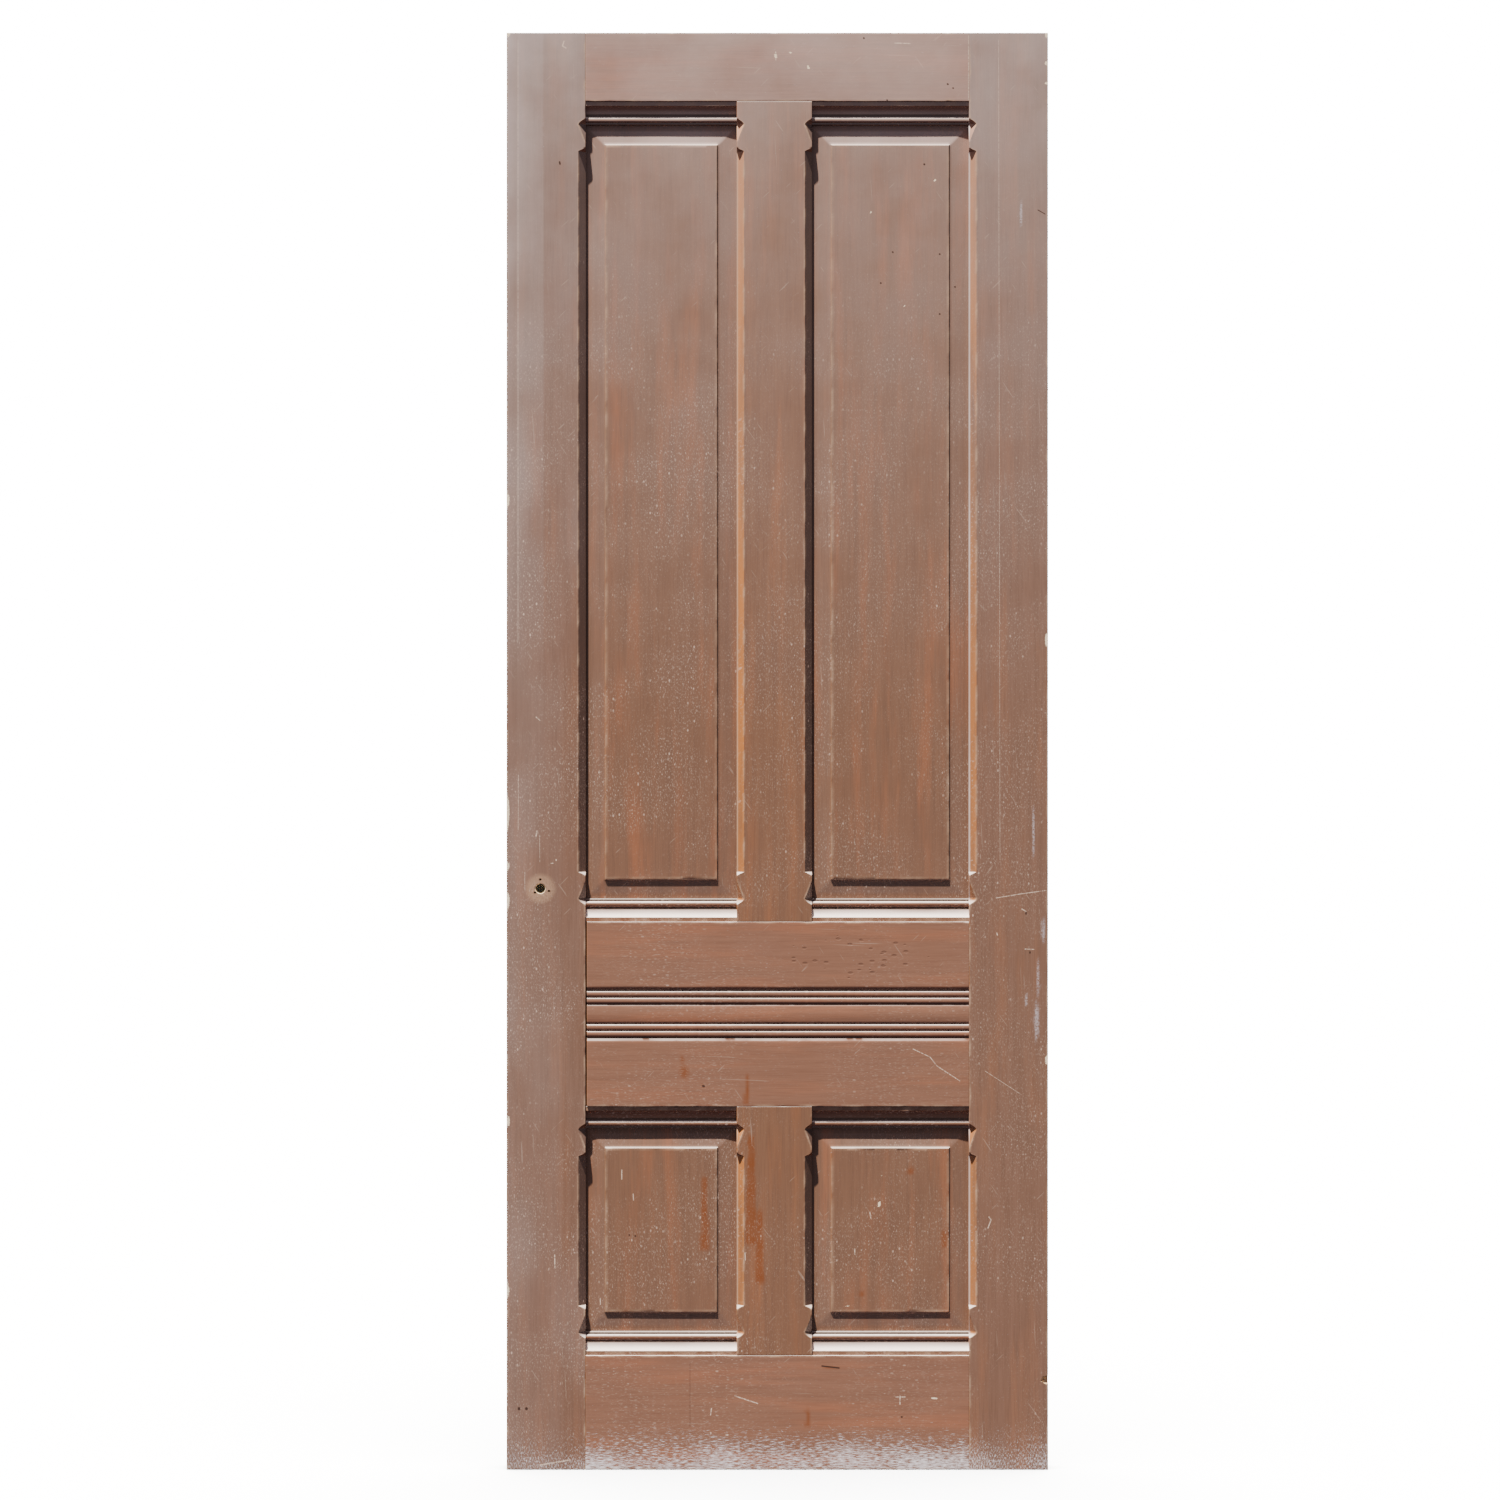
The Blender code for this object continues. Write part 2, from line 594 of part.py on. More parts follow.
for members, colour, roughness in ((stiles, STILE_COLOUR, 0.42), (rails, RAIL_COLOUR, 0.40),
                                   (muntins, STILE_COLOUR, 0.42), (panels, PANEL_COLOUR, 0.45),
                                   (mouldings, MOULDING_COLOUR, 0.38)):
    for member in members:
        varnished_wood(member, colour, roughness)
        member.parent = leaf
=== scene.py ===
"""The old door leaf, dressed: softened arrises, worn varnish, and the marks of long use."""
import functools
import math

import bmesh
import bpy
import numpy as np
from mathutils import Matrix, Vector


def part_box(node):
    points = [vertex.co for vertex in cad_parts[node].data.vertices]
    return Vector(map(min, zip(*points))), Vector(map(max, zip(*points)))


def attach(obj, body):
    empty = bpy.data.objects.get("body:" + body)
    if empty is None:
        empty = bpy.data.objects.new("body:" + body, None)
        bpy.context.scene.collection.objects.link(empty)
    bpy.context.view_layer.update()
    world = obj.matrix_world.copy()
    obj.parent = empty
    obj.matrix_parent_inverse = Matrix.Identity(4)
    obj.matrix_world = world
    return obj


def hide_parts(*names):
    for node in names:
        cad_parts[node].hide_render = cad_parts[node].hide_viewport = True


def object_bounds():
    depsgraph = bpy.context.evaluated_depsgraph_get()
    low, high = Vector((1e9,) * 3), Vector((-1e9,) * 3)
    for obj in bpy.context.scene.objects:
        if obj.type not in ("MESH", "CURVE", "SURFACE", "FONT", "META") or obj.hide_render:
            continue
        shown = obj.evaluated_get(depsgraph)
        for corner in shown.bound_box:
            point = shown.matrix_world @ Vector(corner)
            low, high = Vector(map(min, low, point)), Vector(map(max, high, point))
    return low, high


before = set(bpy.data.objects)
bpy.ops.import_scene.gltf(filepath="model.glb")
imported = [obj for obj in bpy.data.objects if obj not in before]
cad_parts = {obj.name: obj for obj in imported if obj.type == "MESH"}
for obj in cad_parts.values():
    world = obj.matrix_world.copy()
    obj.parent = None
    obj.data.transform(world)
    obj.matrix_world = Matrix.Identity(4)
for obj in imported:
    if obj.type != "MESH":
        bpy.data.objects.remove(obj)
cad_low, cad_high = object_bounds()

MM = 0.001

# The leaf's own planes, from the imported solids
LOCK_EDGE = cad_low.x
HINGE_EDGE = cad_high.x
FRONT = cad_low.y
BACK = cad_high.y
FOOT = cad_low.z
HEAD = cad_high.z
THICKNESS = BACK - FRONT
LOCK_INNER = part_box("lock_stile")[1].x
HINGE_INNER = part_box("hinge_stile")[0].x
MUNTIN_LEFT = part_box("upper_muntin")[0].x
MUNTIN_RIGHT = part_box("upper_muntin")[1].x
BOTTOM_RAIL_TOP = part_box("bottom_rail")[1].z
LOCK_RAIL_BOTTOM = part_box("lock_rail")[0].z
LOCK_RAIL_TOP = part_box("lock_rail")[1].z
TOP_RAIL_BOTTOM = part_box("top_rail")[0].z
PANEL_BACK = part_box("panel_upper_lock_side")[1].y

# Joinery, as in the solids
CLEARANCE = 0.3 * MM
JOINT_GAP = 0.02 * MM
OPENED_JOINT = 2.2 * MM
GROOVE_DEPTH = 12.0 * MM
TONGUE_REACH = 10.0 * MM
FIELD_DEPTH = 12.8 * MM
BEVEL_TOP_DEPTH = 16.4 * MM
BEVEL_FOOT_DEPTH = 19.2 * MM
MARGIN_WIDTH = 34.0 * MM
STEP_WIDTH = 2.8 * MM
COVERED_BEVEL = 1.0 * MM
MOULDING_WIDTH = 38.4 * MM
MOULDING_FILLET = 7.6 * MM
MOULDING_FILLET_DEPTH = 2.6 * MM
COVE_WIDTH = 13.2 * MM
COVE_DEPTH = 8.0 * MM
BEAD_WIDTH = 9.7 * MM
BEAD_CREST_DEPTH = 8.6 * MM
BEAD_SQUARENESS = 0.8
QUIRK_WIDTH = 3.9 * MM
QUIRK_DEPTH = 12.0 * MM
OUTER_FILLET_DEPTH = 11.2 * MM
OUTER_GROOVE = 0.6 * MM
OUTER_ARRIS = 1.3 * MM
BACK_MOULDING_WIDTH = 19.0 * MM
BACK_MOULDING_DROP = 3.0 * MM
BACK_MOULDING_FLAT = 5.0 * MM
BACK_MOULDING_NOSE_DEPTH = 9.0 * MM
CHAMFER_WIDTH = 12.2 * MM
NOTCH_START = 28.6 * MM
NOTCH_PEAK = 39.5 * MM
NOTCH_END = 72.0 * MM
SHOULDER_START = 74.5 * MM
SHOULDER_END = 83.5 * MM
TAPER_POWER = 1.15
SHOULDER_POWER = 2.4
REED_AXIS_DROP = 156.0 * MM
REED_SLOPE = 5.2 * MM
REED_QUIRK = 1.8 * MM
REED_BEAD = 9.5 * MM
REED_BAND = 31.8 * MM
REED_FLOOR = 3.2 * MM
REED_CREST = 0.6 * MM
BAND_CROWN = 1.4 * MM

# Knob, latch and hinges
KNOB_X = LOCK_EDGE + 57.15 * MM
KNOB_Z = FOOT + 981.0 * MM
SPINDLE_HOLE = 16.0 * MM
ROSE_SCREW_HOLE = 3.3 * MM
ROSE_SCREW_DEPTH = 11.0 * MM
ROSE_SCREWS = ((0.0, 15.2 * MM), (14.4 * MM, -4.2 * MM), (-8.8 * MM, -6.9 * MM))
LATCH_SIZE = (77.15 * MM, 16.0 * MM, 82.0 * MM)
FACEPLATE_SIZE = (3.0 * MM, 26.0 * MM, 112.0 * MM)
GAIN_SIZE = (3.2 * MM, 38.1 * MM, 101.6 * MM)
HINGE_SPACING = 933.7 * MM
CHIP_HEIGHT = 152 * MM
CHIP_REACH = (12 * MM, 7 * MM, 7.5 * MM)
TONGUE_HALF_THICKNESS = 7 * MM

# How fine the surfaces are
ARRIS_RADIUS = 0.8 * MM
ARRIS_POINTS = 4
FACE_STEP = 3.2 * MM
ALONG_STEP = 5.0 * MM
STOP_STEP = 1.4 * MM
FIRST_RING = 6.0 * MM
LEAST_GAP = 0.2 * MM
OVERSHOOT = 3.0 * MM
SHARP_ANGLE = 34

# Knocks that open the arrises: how far apart on average, and how deep at the most
KNOCK_SPACING = 90.0 * MM
KNOCK_DEPTH = 1.3 * MM

# The photograph's pixels: the leaf's centre line and foot, and one pixel in metres
PIXEL = 1.688 * MM
PIXEL_CENTRE = 777.35
PIXEL_FOOT = 1469.8
LEAF_MIDDLE = (LOCK_EDGE + HINGE_EDGE) / 2


def at_pixel(column, row):
    """The place on the face, as X and Z, that a pixel of the photograph shows."""
    return LEAF_MIDDLE + (column - PIXEL_CENTRE) * PIXEL, FOOT + (PIXEL_FOOT - row) * PIXEL


def wander(values, seed, wavelength, octaves=3):
    """Smooth random curve between about -1 and 1: sines of halving wavelength, phases seeded."""
    draw = np.random.default_rng(seed)
    total = np.zeros_like(values, dtype=float)
    for octave in range(octaves):
        length = wavelength / 2 ** octave * draw.uniform(0.8, 1.25)
        total += np.sin(2 * np.pi * values / length + draw.uniform(0, 6.28)) / (octave + 1.0)
    return total / 1.6


def ripple(x, z, seed, wavelength):
    """Smooth random field between about -1 and 1 over the face: crossed sines, phases seeded."""
    draw = np.random.default_rng(seed)
    total = np.zeros_like(x, dtype=float)
    for _ in range(5):
        angle = draw.uniform(0, 3.14)
        length = wavelength * draw.uniform(0.6, 1.4)
        total += np.sin(2 * np.pi * (x * np.cos(angle) + z * np.sin(angle)) / length
                        + draw.uniform(0, 6.28))
    return total / 3.0


def worn_radius(along, seed):
    """Radius of an arris along its length: it wanders, and small knocks open it wider."""
    draw = np.random.default_rng(seed)
    length = along.max() - along.min()
    radius = ARRIS_RADIUS * (1.0 + 0.35 * wander(along, seed, 160 * MM))
    for _ in range(int(length / KNOCK_SPACING)):
        centre = along.min() + length * draw.random()
        size = draw.uniform(0.2, 1.1) ** 2 * KNOCK_DEPTH
        radius += size * np.exp(-((along - centre) / draw.uniform(2 * MM, 6 * MM)) ** 2)
    return radius


def chamfer_cut(along):
    """Width of the stop chamfer by distance from the rail: a round notch, a taper, a flare."""
    notch = np.sin(np.pi / 2 * np.clip((along - NOTCH_START) / (NOTCH_PEAK - NOTCH_START), 0, 1))
    taper = np.clip((NOTCH_END - along) / (NOTCH_END - NOTCH_PEAK), 0, 1) ** TAPER_POWER
    flare = np.clip((along - SHOULDER_START) / (SHOULDER_END - SHOULDER_START), 0, 1)
    return CHAMFER_WIDTH * np.where(along < NOTCH_PEAK, notch,
                                    np.maximum(taper, flare ** SHOULDER_POWER))


def chamfers(z, spans):
    """Chamfer width at heights z for an arris with one stop chamfer in each span."""
    width = np.zeros_like(z)
    for bottom, top in spans:
        inside = (z > bottom) & (z < top)
        width = np.where(inside, chamfer_cut(np.minimum(z - bottom, top - z)), width)
    return width


def upright_stations(low, high, spans):
    """Heights of the rings along an upright: closer together at the ends and at the stops."""
    marks = [np.arange(low + FIRST_RING, high - FIRST_RING, ALONG_STEP), end_steps(low, high)]
    for bottom, top in spans:
        near = np.arange(NOTCH_START - 2 * MM, SHOULDER_END + 2 * MM, STOP_STEP)
        marks += [bottom + near, top - near]
    return spaced(np.concatenate(marks), LEAST_GAP)


def end_steps(low, high):
    """Places close to both ends, a few tenths of a millimetre apart at first."""
    ease = np.array([0.0, 0.25, 0.8, 1.6, 3.0]) * MM
    return np.concatenate([low + ease, high - ease])


def spaced(values, least):
    """Sorted values without those that come closer than the least distance to the last."""
    values = np.sort(values)
    keep = np.concatenate([[True], np.diff(values) > least])
    return values[keep]


def cut_columns(width, radius):
    """Columns (inward, depth) down an arris cut to a width: a chamfer, or an arc where narrow."""
    flat = np.clip((width - radius) / (2 * MM), 0, 1)
    width = np.maximum(width, radius)
    columns = []
    for share in np.linspace(0, 1, ARRIS_POINTS + 1):
        angle = np.pi / 2 * share
        inward = (1 - math.sin(angle)) * (1 - flat) + (1 - share) * flat
        depth = (1 - math.cos(angle)) * (1 - flat) + share * flat
        columns.append((width * inward, width * depth))
    return columns


def side_columns(width, radius, groove):
    """Columns (inward, depth) down one side of a member, from the face's arris to the back's."""
    zero = np.zeros_like(radius)
    columns = cut_columns(width, radius)
    foot = np.maximum(width, radius)
    lip = BEVEL_FOOT_DEPTH - CLEARANCE
    far_lip = PANEL_BACK - FRONT + CLEARANCE
    for share in (0.4, 0.8):
        columns.append((zero, foot + (lip - foot) * share))
    if groove is None:
        columns.append((zero, zero + (lip + far_lip) / 2))
    else:
        for inward, depth in ((0, lip), (1, lip), (1, far_lip), (0, far_lip)):
            columns.append((zero + inward * groove, zero + depth))
    for inward, depth in reversed(cut_columns(zero, radius)):
        columns.append((inward, THICKNESS - depth))
    return columns


def ring_rows(sides, width, face_depth, across_lines):
    """Loop of (across, depth) columns round a member: face, far side, back, near side."""
    near, far = sides
    loop = []
    first, last = near[0][0], width - far[0][0]
    for line in across_lines[1:-1]:
        share = (line - across_lines[0]) / (across_lines[-1] - across_lines[0])
        across = first + (last - first) * share
        loop.append((across, face_depth(across)))
    for inward, depth in far:
        loop.append((width - inward, depth))
    back_first, back_last = far[-1][0], near[-1][0]
    for share in np.linspace(0, 1, 10)[1:-1]:
        loop.append(((width - back_first) * (1 - share) + back_last * share,
                     np.full_like(near[0][0], THICKNESS)))
    for inward, depth in reversed(near):
        loop.append((inward, depth))
    across = np.stack([column[0] for column in loop], axis=1)
    depth = np.stack([column[1] for column in loop], axis=1)
    return across, depth


def eased_ends(along, across, depth, width):
    """Draw the rings at both ends in towards the middle, so that the end arrises are eased."""
    nearest = np.minimum(along - along.min(), along.max() - along)
    ease = 0.7 * MM * np.clip(1 - nearest / (0.8 * MM), 0, 1) ** 2
    across = width / 2 + (across - width / 2) * (1 - 2 * ease[:, None] / width)
    depth = THICKNESS / 2 + (depth - THICKNESS / 2) * (1 - 2 * ease[:, None] / THICKNESS)
    return across, depth


def tube_mesh(name, points):
    """Closed mesh from rings of points, an array (rings, points in a ring, 3), capped."""
    rings, count = points.shape[:2]
    ring, spot = np.meshgrid(np.arange(rings - 1), np.arange(count), indexing="ij")
    after = (spot + 1) % count
    quads = np.stack([ring * count + spot, ring * count + after,
                      (ring + 1) * count + after, (ring + 1) * count + spot], axis=-1)
    caps = [list(range(count)), list(range((rings - 1) * count, rings * count))[::-1]]
    return closed_mesh(name, points.reshape(-1, 3), quads.reshape(-1, 4).tolist() + caps)


def closed_mesh(name, points, faces):
    """Mesh with its faces turned outwards, smooth apart from its sharp arrises."""
    mesh = bpy.data.meshes.new(name)
    mesh.from_pydata(points.tolist(), [], faces)
    shape = bmesh.new()
    shape.from_mesh(mesh)
    bmesh.ops.recalc_face_normals(shape, faces=shape.faces)
    shape.to_mesh(mesh)
    shape.free()
    return mesh


def placed(name, data):
    """Object of a mesh, a camera or a light, in the scene."""
    thing = bpy.data.objects.new(name, data)
    bpy.context.scene.collection.objects.link(thing)
    return thing


def finish_piece(name, mesh, slot, nodes):
    """Object of a mesh in the finish of its slot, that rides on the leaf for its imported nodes."""
    mesh.shade_smooth()
    mesh.set_sharp_from_angle(angle=math.radians(SHARP_ANGLE))
    piece = placed(name, mesh)
    if not mesh.materials:
        mesh.materials.append(finishes[slot])
    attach(piece, "root")
    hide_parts(*nodes)
    lit.objects.link(piece)
    return piece


def store(mesh, name, values):
    """Keep one number for each point of a mesh, under a name that the varnish reads."""
    layer = mesh.attributes.new(name, "FLOAT", "POINT")
    layer.data.foreach_set("value", np.ascontiguousarray(values, dtype=np.float32).ravel())


lit = bpy.data.collections.new("lit_by_the_key_light")

# Heights of the openings for the upper and the lower panels
UPPER = (LOCK_RAIL_TOP, TOP_RAIL_BOTTOM)
LOWER = (BOTTOM_RAIL_TOP, LOCK_RAIL_BOTTOM)


def spot(x, z, column, row, half_width, half_height):
    """Soft oval, 1 at its centre and 0 outside, given in pixels of the photograph."""
    centre_x, centre_z = at_pixel(column, row)
    far = ((x - centre_x) / (half_width * PIXEL)) ** 2 + ((z - centre_z) / (half_height * PIXEL)) ** 2
    return np.clip(1.3 - far, 0, 1)


def drip(x, z, column, top, bottom, half_width):
    """Run of rusty water: a narrow band that wanders and widens a little downwards."""
    centre_x, top_z = at_pixel(column, top)
    bottom_z = at_pixel(column, bottom)[1]
    share = np.clip((top_z - z) / (top_z - bottom_z), 0, 1)
    centre = centre_x + 1.2 * MM * wander(z, int(column), 60 * MM)
    reach = half_width * PIXEL * (0.6 + 0.6 * share)
    inside = np.clip(1.6 - ((x - centre) / reach) ** 2, 0, 1)
    ends = np.clip((top_z - z) / (9 * MM), 0, 1) * np.clip((z - bottom_z) / (5 * MM), 0, 1)
    return inside * ends * (0.85 + 0.15 * wander(z, int(top), 45 * MM))


# Marks in pixels of the photograph. Drips: column, top, bottom, half width
RUST_DRIPS = ((751.2, 1133, 1246, 4.6), (759.6, 1208, 1285, 3.6), (704.5, 1176, 1253, 3.6),
              (747, 1072, 1106, 2.4), (807, 1405, 1428, 1.8), (944.5, 1229, 1250, 2.8))
# The rest: column, row, half width, half height
RUST_SPOTS = ((682.5, 1060, 2.6, 4.2), (684, 1072, 5.0, 7.0), (703, 1086, 2.2, 1.6),
              (911, 1172, 4.2, 4.4), (862, 1295, 3.0, 2.4), (830.5, 1367, 8.0, 1.2))
LILAC_SCRAPES = ((1021, 214, 1.6, 12.0), (1033.5, 832, 0.9, 24.0), (1036.5, 1021, 2.4, 20.0),
                 (1038.5, 978, 1.2, 20.0), (1043, 930, 1.4, 14.0), (1026, 1000, 1.2, 6.0))
EDGE_CHIPS = ((507, 813, 2.5, 22.0), (507, 866, 2.4, 6.0), (507, 901, 2.7, 11.0),
              (508, 34, 3.0, 4.0), (1047, 35, 2.6, 4.0), (1047, 63, 2.2, 3.0),
              (1047, 83, 2.0, 2.5), (508, 1121, 2.0, 6.0), (1047, 1060, 1.8, 7.0),
              (507.5, 500, 2.0, 9.0), (1047, 640, 2.0, 9.0), (507.5, 1290, 1.8, 10.0))
BARE_SPOTS = ((808.5, 67.5, 1.6, 2.2), (775.7, 56, 0.9, 3.0), (790, 52.5, 0.9, 2.0),
              (881, 1176, 1.5, 3.0), (879.5, 1205, 1.0, 3.4), (847.5, 1307.5, 1.8, 1.2),
              (934.5, 1398.5, 4.0, 1.3), (905, 304, 2.0, 1.4), (936, 179, 1.4, 1.2),
              (872, 211.5, 1.4, 1.1), (690, 1265, 1.4, 1.2))


# How the rest of the wear and the painted sheen lie: rows, columns and lengths in pixels of the photograph
HEAD_ROW = 40
HEAD_BLOOM_AND_SHEEN_FADE = 120
LONG_BLOOM_AND_SHEEN_END = 720
EDGE_BLOOM_AND_SHEEN_END = 600
PALE_STRIP = (517, 543)
PALE_STRIP_END = 620
GREYED_COLUMN = 565
GREYED_ROW = 500
SPECKS_ROW = 200
SPECKS_RISE = 260
SCUFFING_ROW = 1416
SCUFFING_RISE = 46
DENTED_SPOT = (858, 957)

# And its sizes on the wood
EDGE_BLOOM_AND_SHEEN_WIDTH = 26 * MM
GREYED_EASE = 12 * MM
ROSE_RADIUS = 24.5 * MM
DENTED_REACH = (120 * MM, 42 * MM)
ARRIS_CHIP_DEPTH = 4 * MM

WEAR_AND_LIGHT = ("rubbed_and_highlit_arris", "rust", "bare", "scrape", "bloom_and_sheen", "scuffed", "specked", "halo", "dented", "shade_and_dirt")


def paint_wear_and_light(mesh, x, z, wear_and_highlight, shade_and_dirt, more_bloom_and_light=0.0):
    """Store the marks, painted light and painted shade of each point of a mesh: the greatest of the marks
    there, and slow changes by row.
    """
    rust, bare, scraped = np.zeros((3, *x.shape))
    for mark in RUST_DRIPS:
        rust = np.maximum(rust, drip(x, z, *mark))
    for mark in RUST_SPOTS:
        rust = np.maximum(rust, 0.8 * spot(x, z, *mark))
    for mark in EDGE_CHIPS + BARE_SPOTS:
        bare = np.maximum(bare, spot(x, z, *mark))
    for mark in LILAC_SCRAPES:
        scraped = np.maximum(scraped, 0.55 * spot(x, z, *mark))
    row = PIXEL_FOOT - (z - FOOT) / PIXEL
    # Bloom and painted sheen: paler towards the head and towards the lock edge, where the key light glares on
    # the varnish; a pale strip, blotches and a greyed part of the lock stile add to it
    bloom_and_sheen = 0.17 * np.exp(-(row - HEAD_ROW) / HEAD_BLOOM_AND_SHEEN_FADE) + 0.14 * np.clip(1 - row / LONG_BLOOM_AND_SHEEN_END, 0, 1)
    bloom_and_sheen += np.exp((LOCK_EDGE - x) / EDGE_BLOOM_AND_SHEEN_WIDTH) * (
        0.04 + 0.2 * np.clip(1.1 - row / EDGE_BLOOM_AND_SHEEN_END, 0, 1))
    strip = (x > at_pixel(PALE_STRIP[0], 0)[0]) & (x < at_pixel(PALE_STRIP[1], 0)[0])
    bloom_and_sheen += 0.08 * strip * np.clip(1.3 - row / PALE_STRIP_END, 0, 1)
    blotch = np.clip(ripple(x * 3, z, 17, 400 * MM), 0, 1) * (x < LOCK_INNER)
    greyed = np.clip((at_pixel(GREYED_COLUMN, 0)[0] - x) / GREYED_EASE, 0, 1) * np.clip(
        (row - GREYED_ROW) / 200, 0, 1)
    bloom_and_sheen += 0.05 * blotch + 0.03 * greyed + more_bloom_and_light
    specked = np.clip((row - SPECKS_ROW) / SPECKS_RISE, 0.12, 1) * (0.75 + 0.25 * (x < MUNTIN_LEFT))
    on_rails = (x > LOCK_INNER) & (x < HINGE_INNER) & (
        (z < BOTTOM_RAIL_TOP) | ((z > LOCK_RAIL_BOTTOM) & (z < LOCK_RAIL_TOP)))
    specked *= 1 - 0.45 * on_rails
    scuffed = np.clip((row - SCUFFING_ROW) / SCUFFING_RISE, 0, 1) * (0.85 + 0.15 * ripple(x, z, 8, 120 * MM))
    scuffed *= 1 - 0.35 * (x < LOCK_INNER) - 0.2 * (x > HINGE_INNER)
    rim = np.hypot(x - KNOB_X, z - KNOB_Z) / ROSE_RADIUS
    halo = np.clip((1.12 - rim) / 0.3, 0, 1) * (1 - 0.35 * np.clip(rim, 0, 1))
    middle_x, middle_z = at_pixel(*DENTED_SPOT)
    dented = np.clip(1.5 - ((x - middle_x) / DENTED_REACH[0]) ** 2
                     - ((z - middle_z) / DENTED_REACH[1]) ** 2, 0, 1)
    # The photograph's marks are on the face alone, and the chips of the edges on their arris alone
    places = np.empty(len(mesh.vertices) * 3)
    mesh.vertices.foreach_get("co", places)
    depth = places[1::3].reshape(x.shape) - FRONT
    on_face = depth < THICKNESS / 2
    at_edge = (x < LOCK_EDGE + MM) | (x > HINGE_EDGE - MM)
    bare = bare * (depth < np.where(at_edge, ARRIS_CHIP_DEPTH, THICKNESS / 2))
    for mark, values in zip(WEAR_AND_LIGHT, (wear_and_highlight, rust * on_face, bare, scraped * on_face, bloom_and_sheen, scuffed,
                                   specked, halo * on_face, dented, shade_and_dirt)):
        store(mesh, mark, values)


def face_relief(x, z, seed):
    """Depth of the gentle unevenness of a planed face, never above the face."""
    return 0.12 * MM * (0.5 + 0.5 * np.clip(ripple(x, z, seed, 140 * MM), -1, 1))


def make_upright(name, x_span, z_span, sides, slot, seed, cutters=()):
    """Stile or muntin: rings stacked along Z; each side lists its chamfer and groove spans."""
    left, right = x_span
    low, high = z_span
    width = right - left
    spans = sides[0] or sides[1]
    z = upright_stations(low, high, spans)
    columns = []
    for number, side in enumerate(sides):
        radius = worn_radius(z, seed + number)
        if side:
            groove = np.full_like(z, 0.05 * MM)
            for bottom, top in side:
                inside = (z > bottom - GROOVE_DEPTH) & (z < top + GROOVE_DEPTH)
                groove = np.where(inside, GROOVE_DEPTH, groove)
            columns.append(side_columns(chamfers(z, side), radius, groove))
        else:
            columns.append(side_columns(np.zeros_like(z), radius, None))
    lines = np.linspace(0, width, int(width / FACE_STEP))
    across, depth = ring_rows(columns, width,
                              lambda a: face_relief(left + a, z, seed), lines)
    across, depth = eased_ends(z, across, depth, width)
    x = left + across
    points = np.stack([x, FRONT + depth, np.broadcast_to(z[:, None], x.shape)], axis=-1)
    mesh = tube_mesh(name, points)
    wear_and_highlight = arris_wear_and_highlight(across, depth, columns, width, z, high, low, seed)
    painted_foot_highlight = 0.0
    if sides[0]:
        # The last column of the loop's return runs along the foot of the left-hand chamfer, which faces the
        # key light. A painted highlight line lies there: in the arris wear, and on the hinge stile mostly in
        # the bloom and sheen
        foot = np.abs(depth - np.maximum(columns[0][0][0], columns[0][ARRIS_POINTS][1])[:, None])
        left_foot = (across < 0.05 * MM) & (foot < 0.05 * MM)
        wear_and_highlight = np.maximum(wear_and_highlight, 0.85 * left_foot)
        painted_foot_highlight = (0.9 if left > MUNTIN_RIGHT else 0.15) * left_foot
        wear_and_highlight *= 1 - 0.8 * left_foot * (left > MUNTIN_RIGHT)
    heights = points[..., 2]
    paint_wear_and_light(mesh, x, heights, wear_and_highlight, np.zeros(x.shape), painted_foot_highlight)
    mesh = carve(mesh, finishes[slot], cutters)
    return finish_piece(name + "_wood", mesh, slot, [name])


def arris_wear_and_highlight(across, depth, columns, width, z, high, low, seed):
    """How rubbed, and how lit by painted highlight, each point is: 1 on an arris of the face, 0 some
    millimetres away from it.
    """
    near_left = columns[0][0][0][:, None]
    near_right = width - columns[1][0][0][:, None]
    gap = np.minimum(np.abs(across - near_left), np.abs(across - near_right))
    ends = np.minimum(z - low, high - z)[:, None]
    gap = np.minimum(gap, ends + 0.4 * MM)
    rubbed = 0.3 + 0.6 * wander(z, seed + 7, 70 * MM, 5)[:, None]
    wear_and_highlight = np.clip(1 - gap / (1.3 * MM), 0, 1) * np.clip(rubbed, 0, 1) * (depth < 14 * MM)
    return wear_and_highlight


def half_round(start, width, base, rise, count):
    """Points (across, depth) over a bead, a little squarer than an arc, along its angle."""
    angle = np.linspace(0, np.pi, count)
    across = start + width * (1 - np.cos(angle)) / 2
    return np.stack([across, base - rise * np.sin(angle) ** BEAD_SQUARENESS], axis=1)


def reed_section():
    """Points (across, depth) over the reeded band of the lock rail, from its top edge down."""
    rows = [[(0.0, 0.0), (0.35 * MM, 0.12 * MM)]]
    across = REED_SLOPE
    for run in ("bead", "bead", "band", "bead", "bead"):
        rows.append([(across, REED_FLOOR), (across + REED_QUIRK * 0.8, REED_FLOOR)])
        across += REED_QUIRK
        if run == "bead":
            rows.append(half_round(across, REED_BEAD, REED_FLOOR, REED_FLOOR - REED_CREST, 18)[1:-1])
            across += REED_BEAD
        else:
            share = np.linspace(-1, 1, 22)
            depth = REED_CREST + BAND_CROWN * share ** 2
            depth += (REED_FLOOR - REED_CREST - BAND_CROWN) * np.abs(share) ** 24
            rows.append(np.stack([across + REED_BAND * (share + 1) / 2, depth], axis=1))
            across += REED_BAND
    rows.append([(across, REED_FLOOR), (across + REED_QUIRK, REED_FLOOR)])
    across += REED_QUIRK
    rows.append([(across + REED_SLOPE - 0.35 * MM, 0.12 * MM), (across + REED_SLOPE, 0.0)])
    return np.concatenate([np.array(row) for row in rows])


